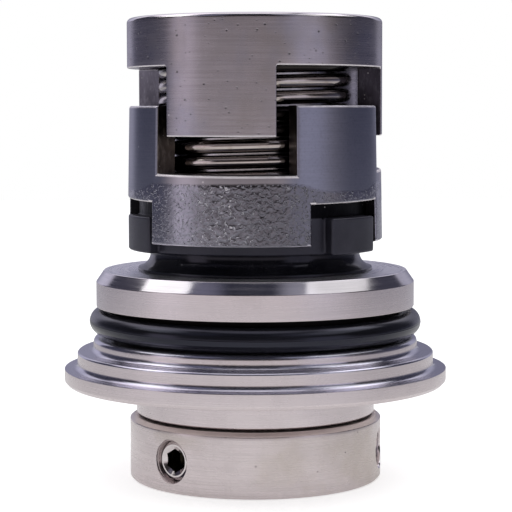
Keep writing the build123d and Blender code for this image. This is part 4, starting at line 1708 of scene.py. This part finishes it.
class Room(Tree):
    """World that metal mirrors as a studio by direction, and that is plain light and white otherwise."""

    table_edge, front_wall = (0.95, 0.865, 0.885), (0.52, 0.475, 0.495)
    side_wall = (0.13, 0.132, 0.195)
    dusk_side, dusk_front = (0.056, 0.056, 0.084), (0.030, 0.026, 0.028)
    ceiling = (0.032, 0.034, 0.055)
    back_left, back_right = (0.31, 0.306, 0.40), (0.22, 0.217, 0.295)
    back_far_right, back_far_left = (0.47, 0.465, 0.575), (0.63, 0.615, 0.76)
    back_high = (1.0, 0.97, 1.08)
    overhead = (1.15, 1.12, 1.18)
    even_light = 0.74
    strips = (
        Glow(-66.0, 0.0, 15.0, 0.45, (1.10, 1.01, 1.13)), Glow(50.0, 0.0, 21.0, 0.45, (0.80, 0.78, 0.92)),
    )
    patches = (
        Glow(-52.0, 48.0, 20.0, 0.0, (0.22, 0.22, 0.31)), Glow(42.0, 50.0, 18.0, 0.0, (0.45, 0.45, 0.54)),
        Glow(-128.0, 57.0, 24.0, 0.6, (1.8, 1.7, 1.85)), Glow(118.0, 56.0, 16.0, 0.6, (1.3, 1.25, 1.4)),
    )

    def build(self) -> None:
        """Join the room that metal mirrors, the even light on matt surfaces and the white background."""
        path = self.add("ShaderNodeLightPath")
        metal = self.mixed(path.outputs["Is Glossy Ray"], self.light((1.0, 1.0, 1.0, 1.0), self.even_light),
                           self.light(self.mirrored()))
        seen = self.math("MAXIMUM", path.outputs["Is Camera Ray"], path.outputs["Is Transmission Ray"])
        whole = self.mixed(seen, metal, self.light((1.0, 1.0, 1.0, 1.0)))
        output = self.add("ShaderNodeOutputWorld")
        self.links.new(whole, output.inputs["Surface"])

    def light(self, colour: object, strength: float = 1.0) -> Socket:
        """Background of a colour and a strength."""
        node = self.add("ShaderNodeBackground")
        self.feed(node.inputs["Color"], colour)
        self.feed(node.inputs["Strength"], strength)
        return node.outputs[0]

    def mixed(self, share: Socket, first: Socket, second: Socket) -> Socket:
        """Shader mixed from first to second by a share."""
        node = self.add("ShaderNodeMixShader")
        for socket, value in zip(node.inputs, (share, first, second)):
            self.feed(socket, value)
        return node.outputs[0]

    def mirrored(self) -> Socket:
        """Colour of the room by direction: walls, glowing strips and patches, back wall, overhead light."""
        x, y, z = self.split(self.add("ShaderNodeTexCoord").outputs["Generated"])
        flat = self.math("MAXIMUM", self.length(x, y), 0.001)
        front = self.math("DIVIDE", self.times(y, -1.0), flat)
        side = self.math("DIVIDE", x, flat)
        facing = self.over(self.table_edge, self.front_wall, z, -0.045, 0.06)
        colour = self.blend(self.level(front, -0.10, 0.60), self.side_wall, facing)
        above = self.over(self.dusk_side, self.dusk_front, front, -0.45, 0.10)
        colour = self.blend(self.level(z, 0.06, 0.15), colour, above)
        low = self.level(z, 0.25, 0.50, 1.0, 0.0)
        for strip in self.strips:
            aim = heading(strip.bearing, strip.rise)
            toward = self.math("MULTIPLY_ADD", front, -aim.y, self.times(side, aim.x))
            colour = self.blend(self.times(self.spread(strip, toward), low), colour, strip.tint)
        colour = self.over(colour, self.ceiling, z, 0.55, 0.80)
        for patch in self.patches:
            aim = heading(patch.bearing, patch.rise)
            toward = self.math("MULTIPLY_ADD", x, aim.x, self.times(y, aim.y))
            toward = self.math("MULTIPLY_ADD", z, aim.z, toward)
            colour = self.blend(self.spread(patch, toward), colour, patch.tint)
        wall = self.over(self.back_left, self.back_right, side, -0.08, 0.08)
        wall = self.over(wall, self.back_far_right, side, 0.2, 0.5)
        wall = self.over(wall, self.back_far_left, self.times(side, -1.0), 0.2, 0.5)
        wall = self.over(wall, self.back_high, z, 0.26, 0.50)
        colour = self.blend(self.level(self.times(front, -1.0), 0.745, 0.80), colour, wall)
        return self.over(colour, self.overhead, z, 0.925, 0.965)

    def spread(self, glow: Glow, toward: Socket) -> Socket:
        """Share of a glow by the cosine of the angle to its middle."""
        return self.level(toward, cos(radians(glow.half)), cos(radians(glow.half * glow.core)))


def main() -> None:
    """Build the seal's sub-assemblies in order, then the studio."""
    logging.basicConfig(level=logging.INFO, format="%(name)s: %(message)s")
    DriveCup().build()
    RotatingHead().build()
    GlandGroup().build()
    for kind in RingKind:
        RubberRing(kind).build()
    DriveGroup().build()
    Studio().build()
    clear_selection()


if __name__ == "__main__":
    main()
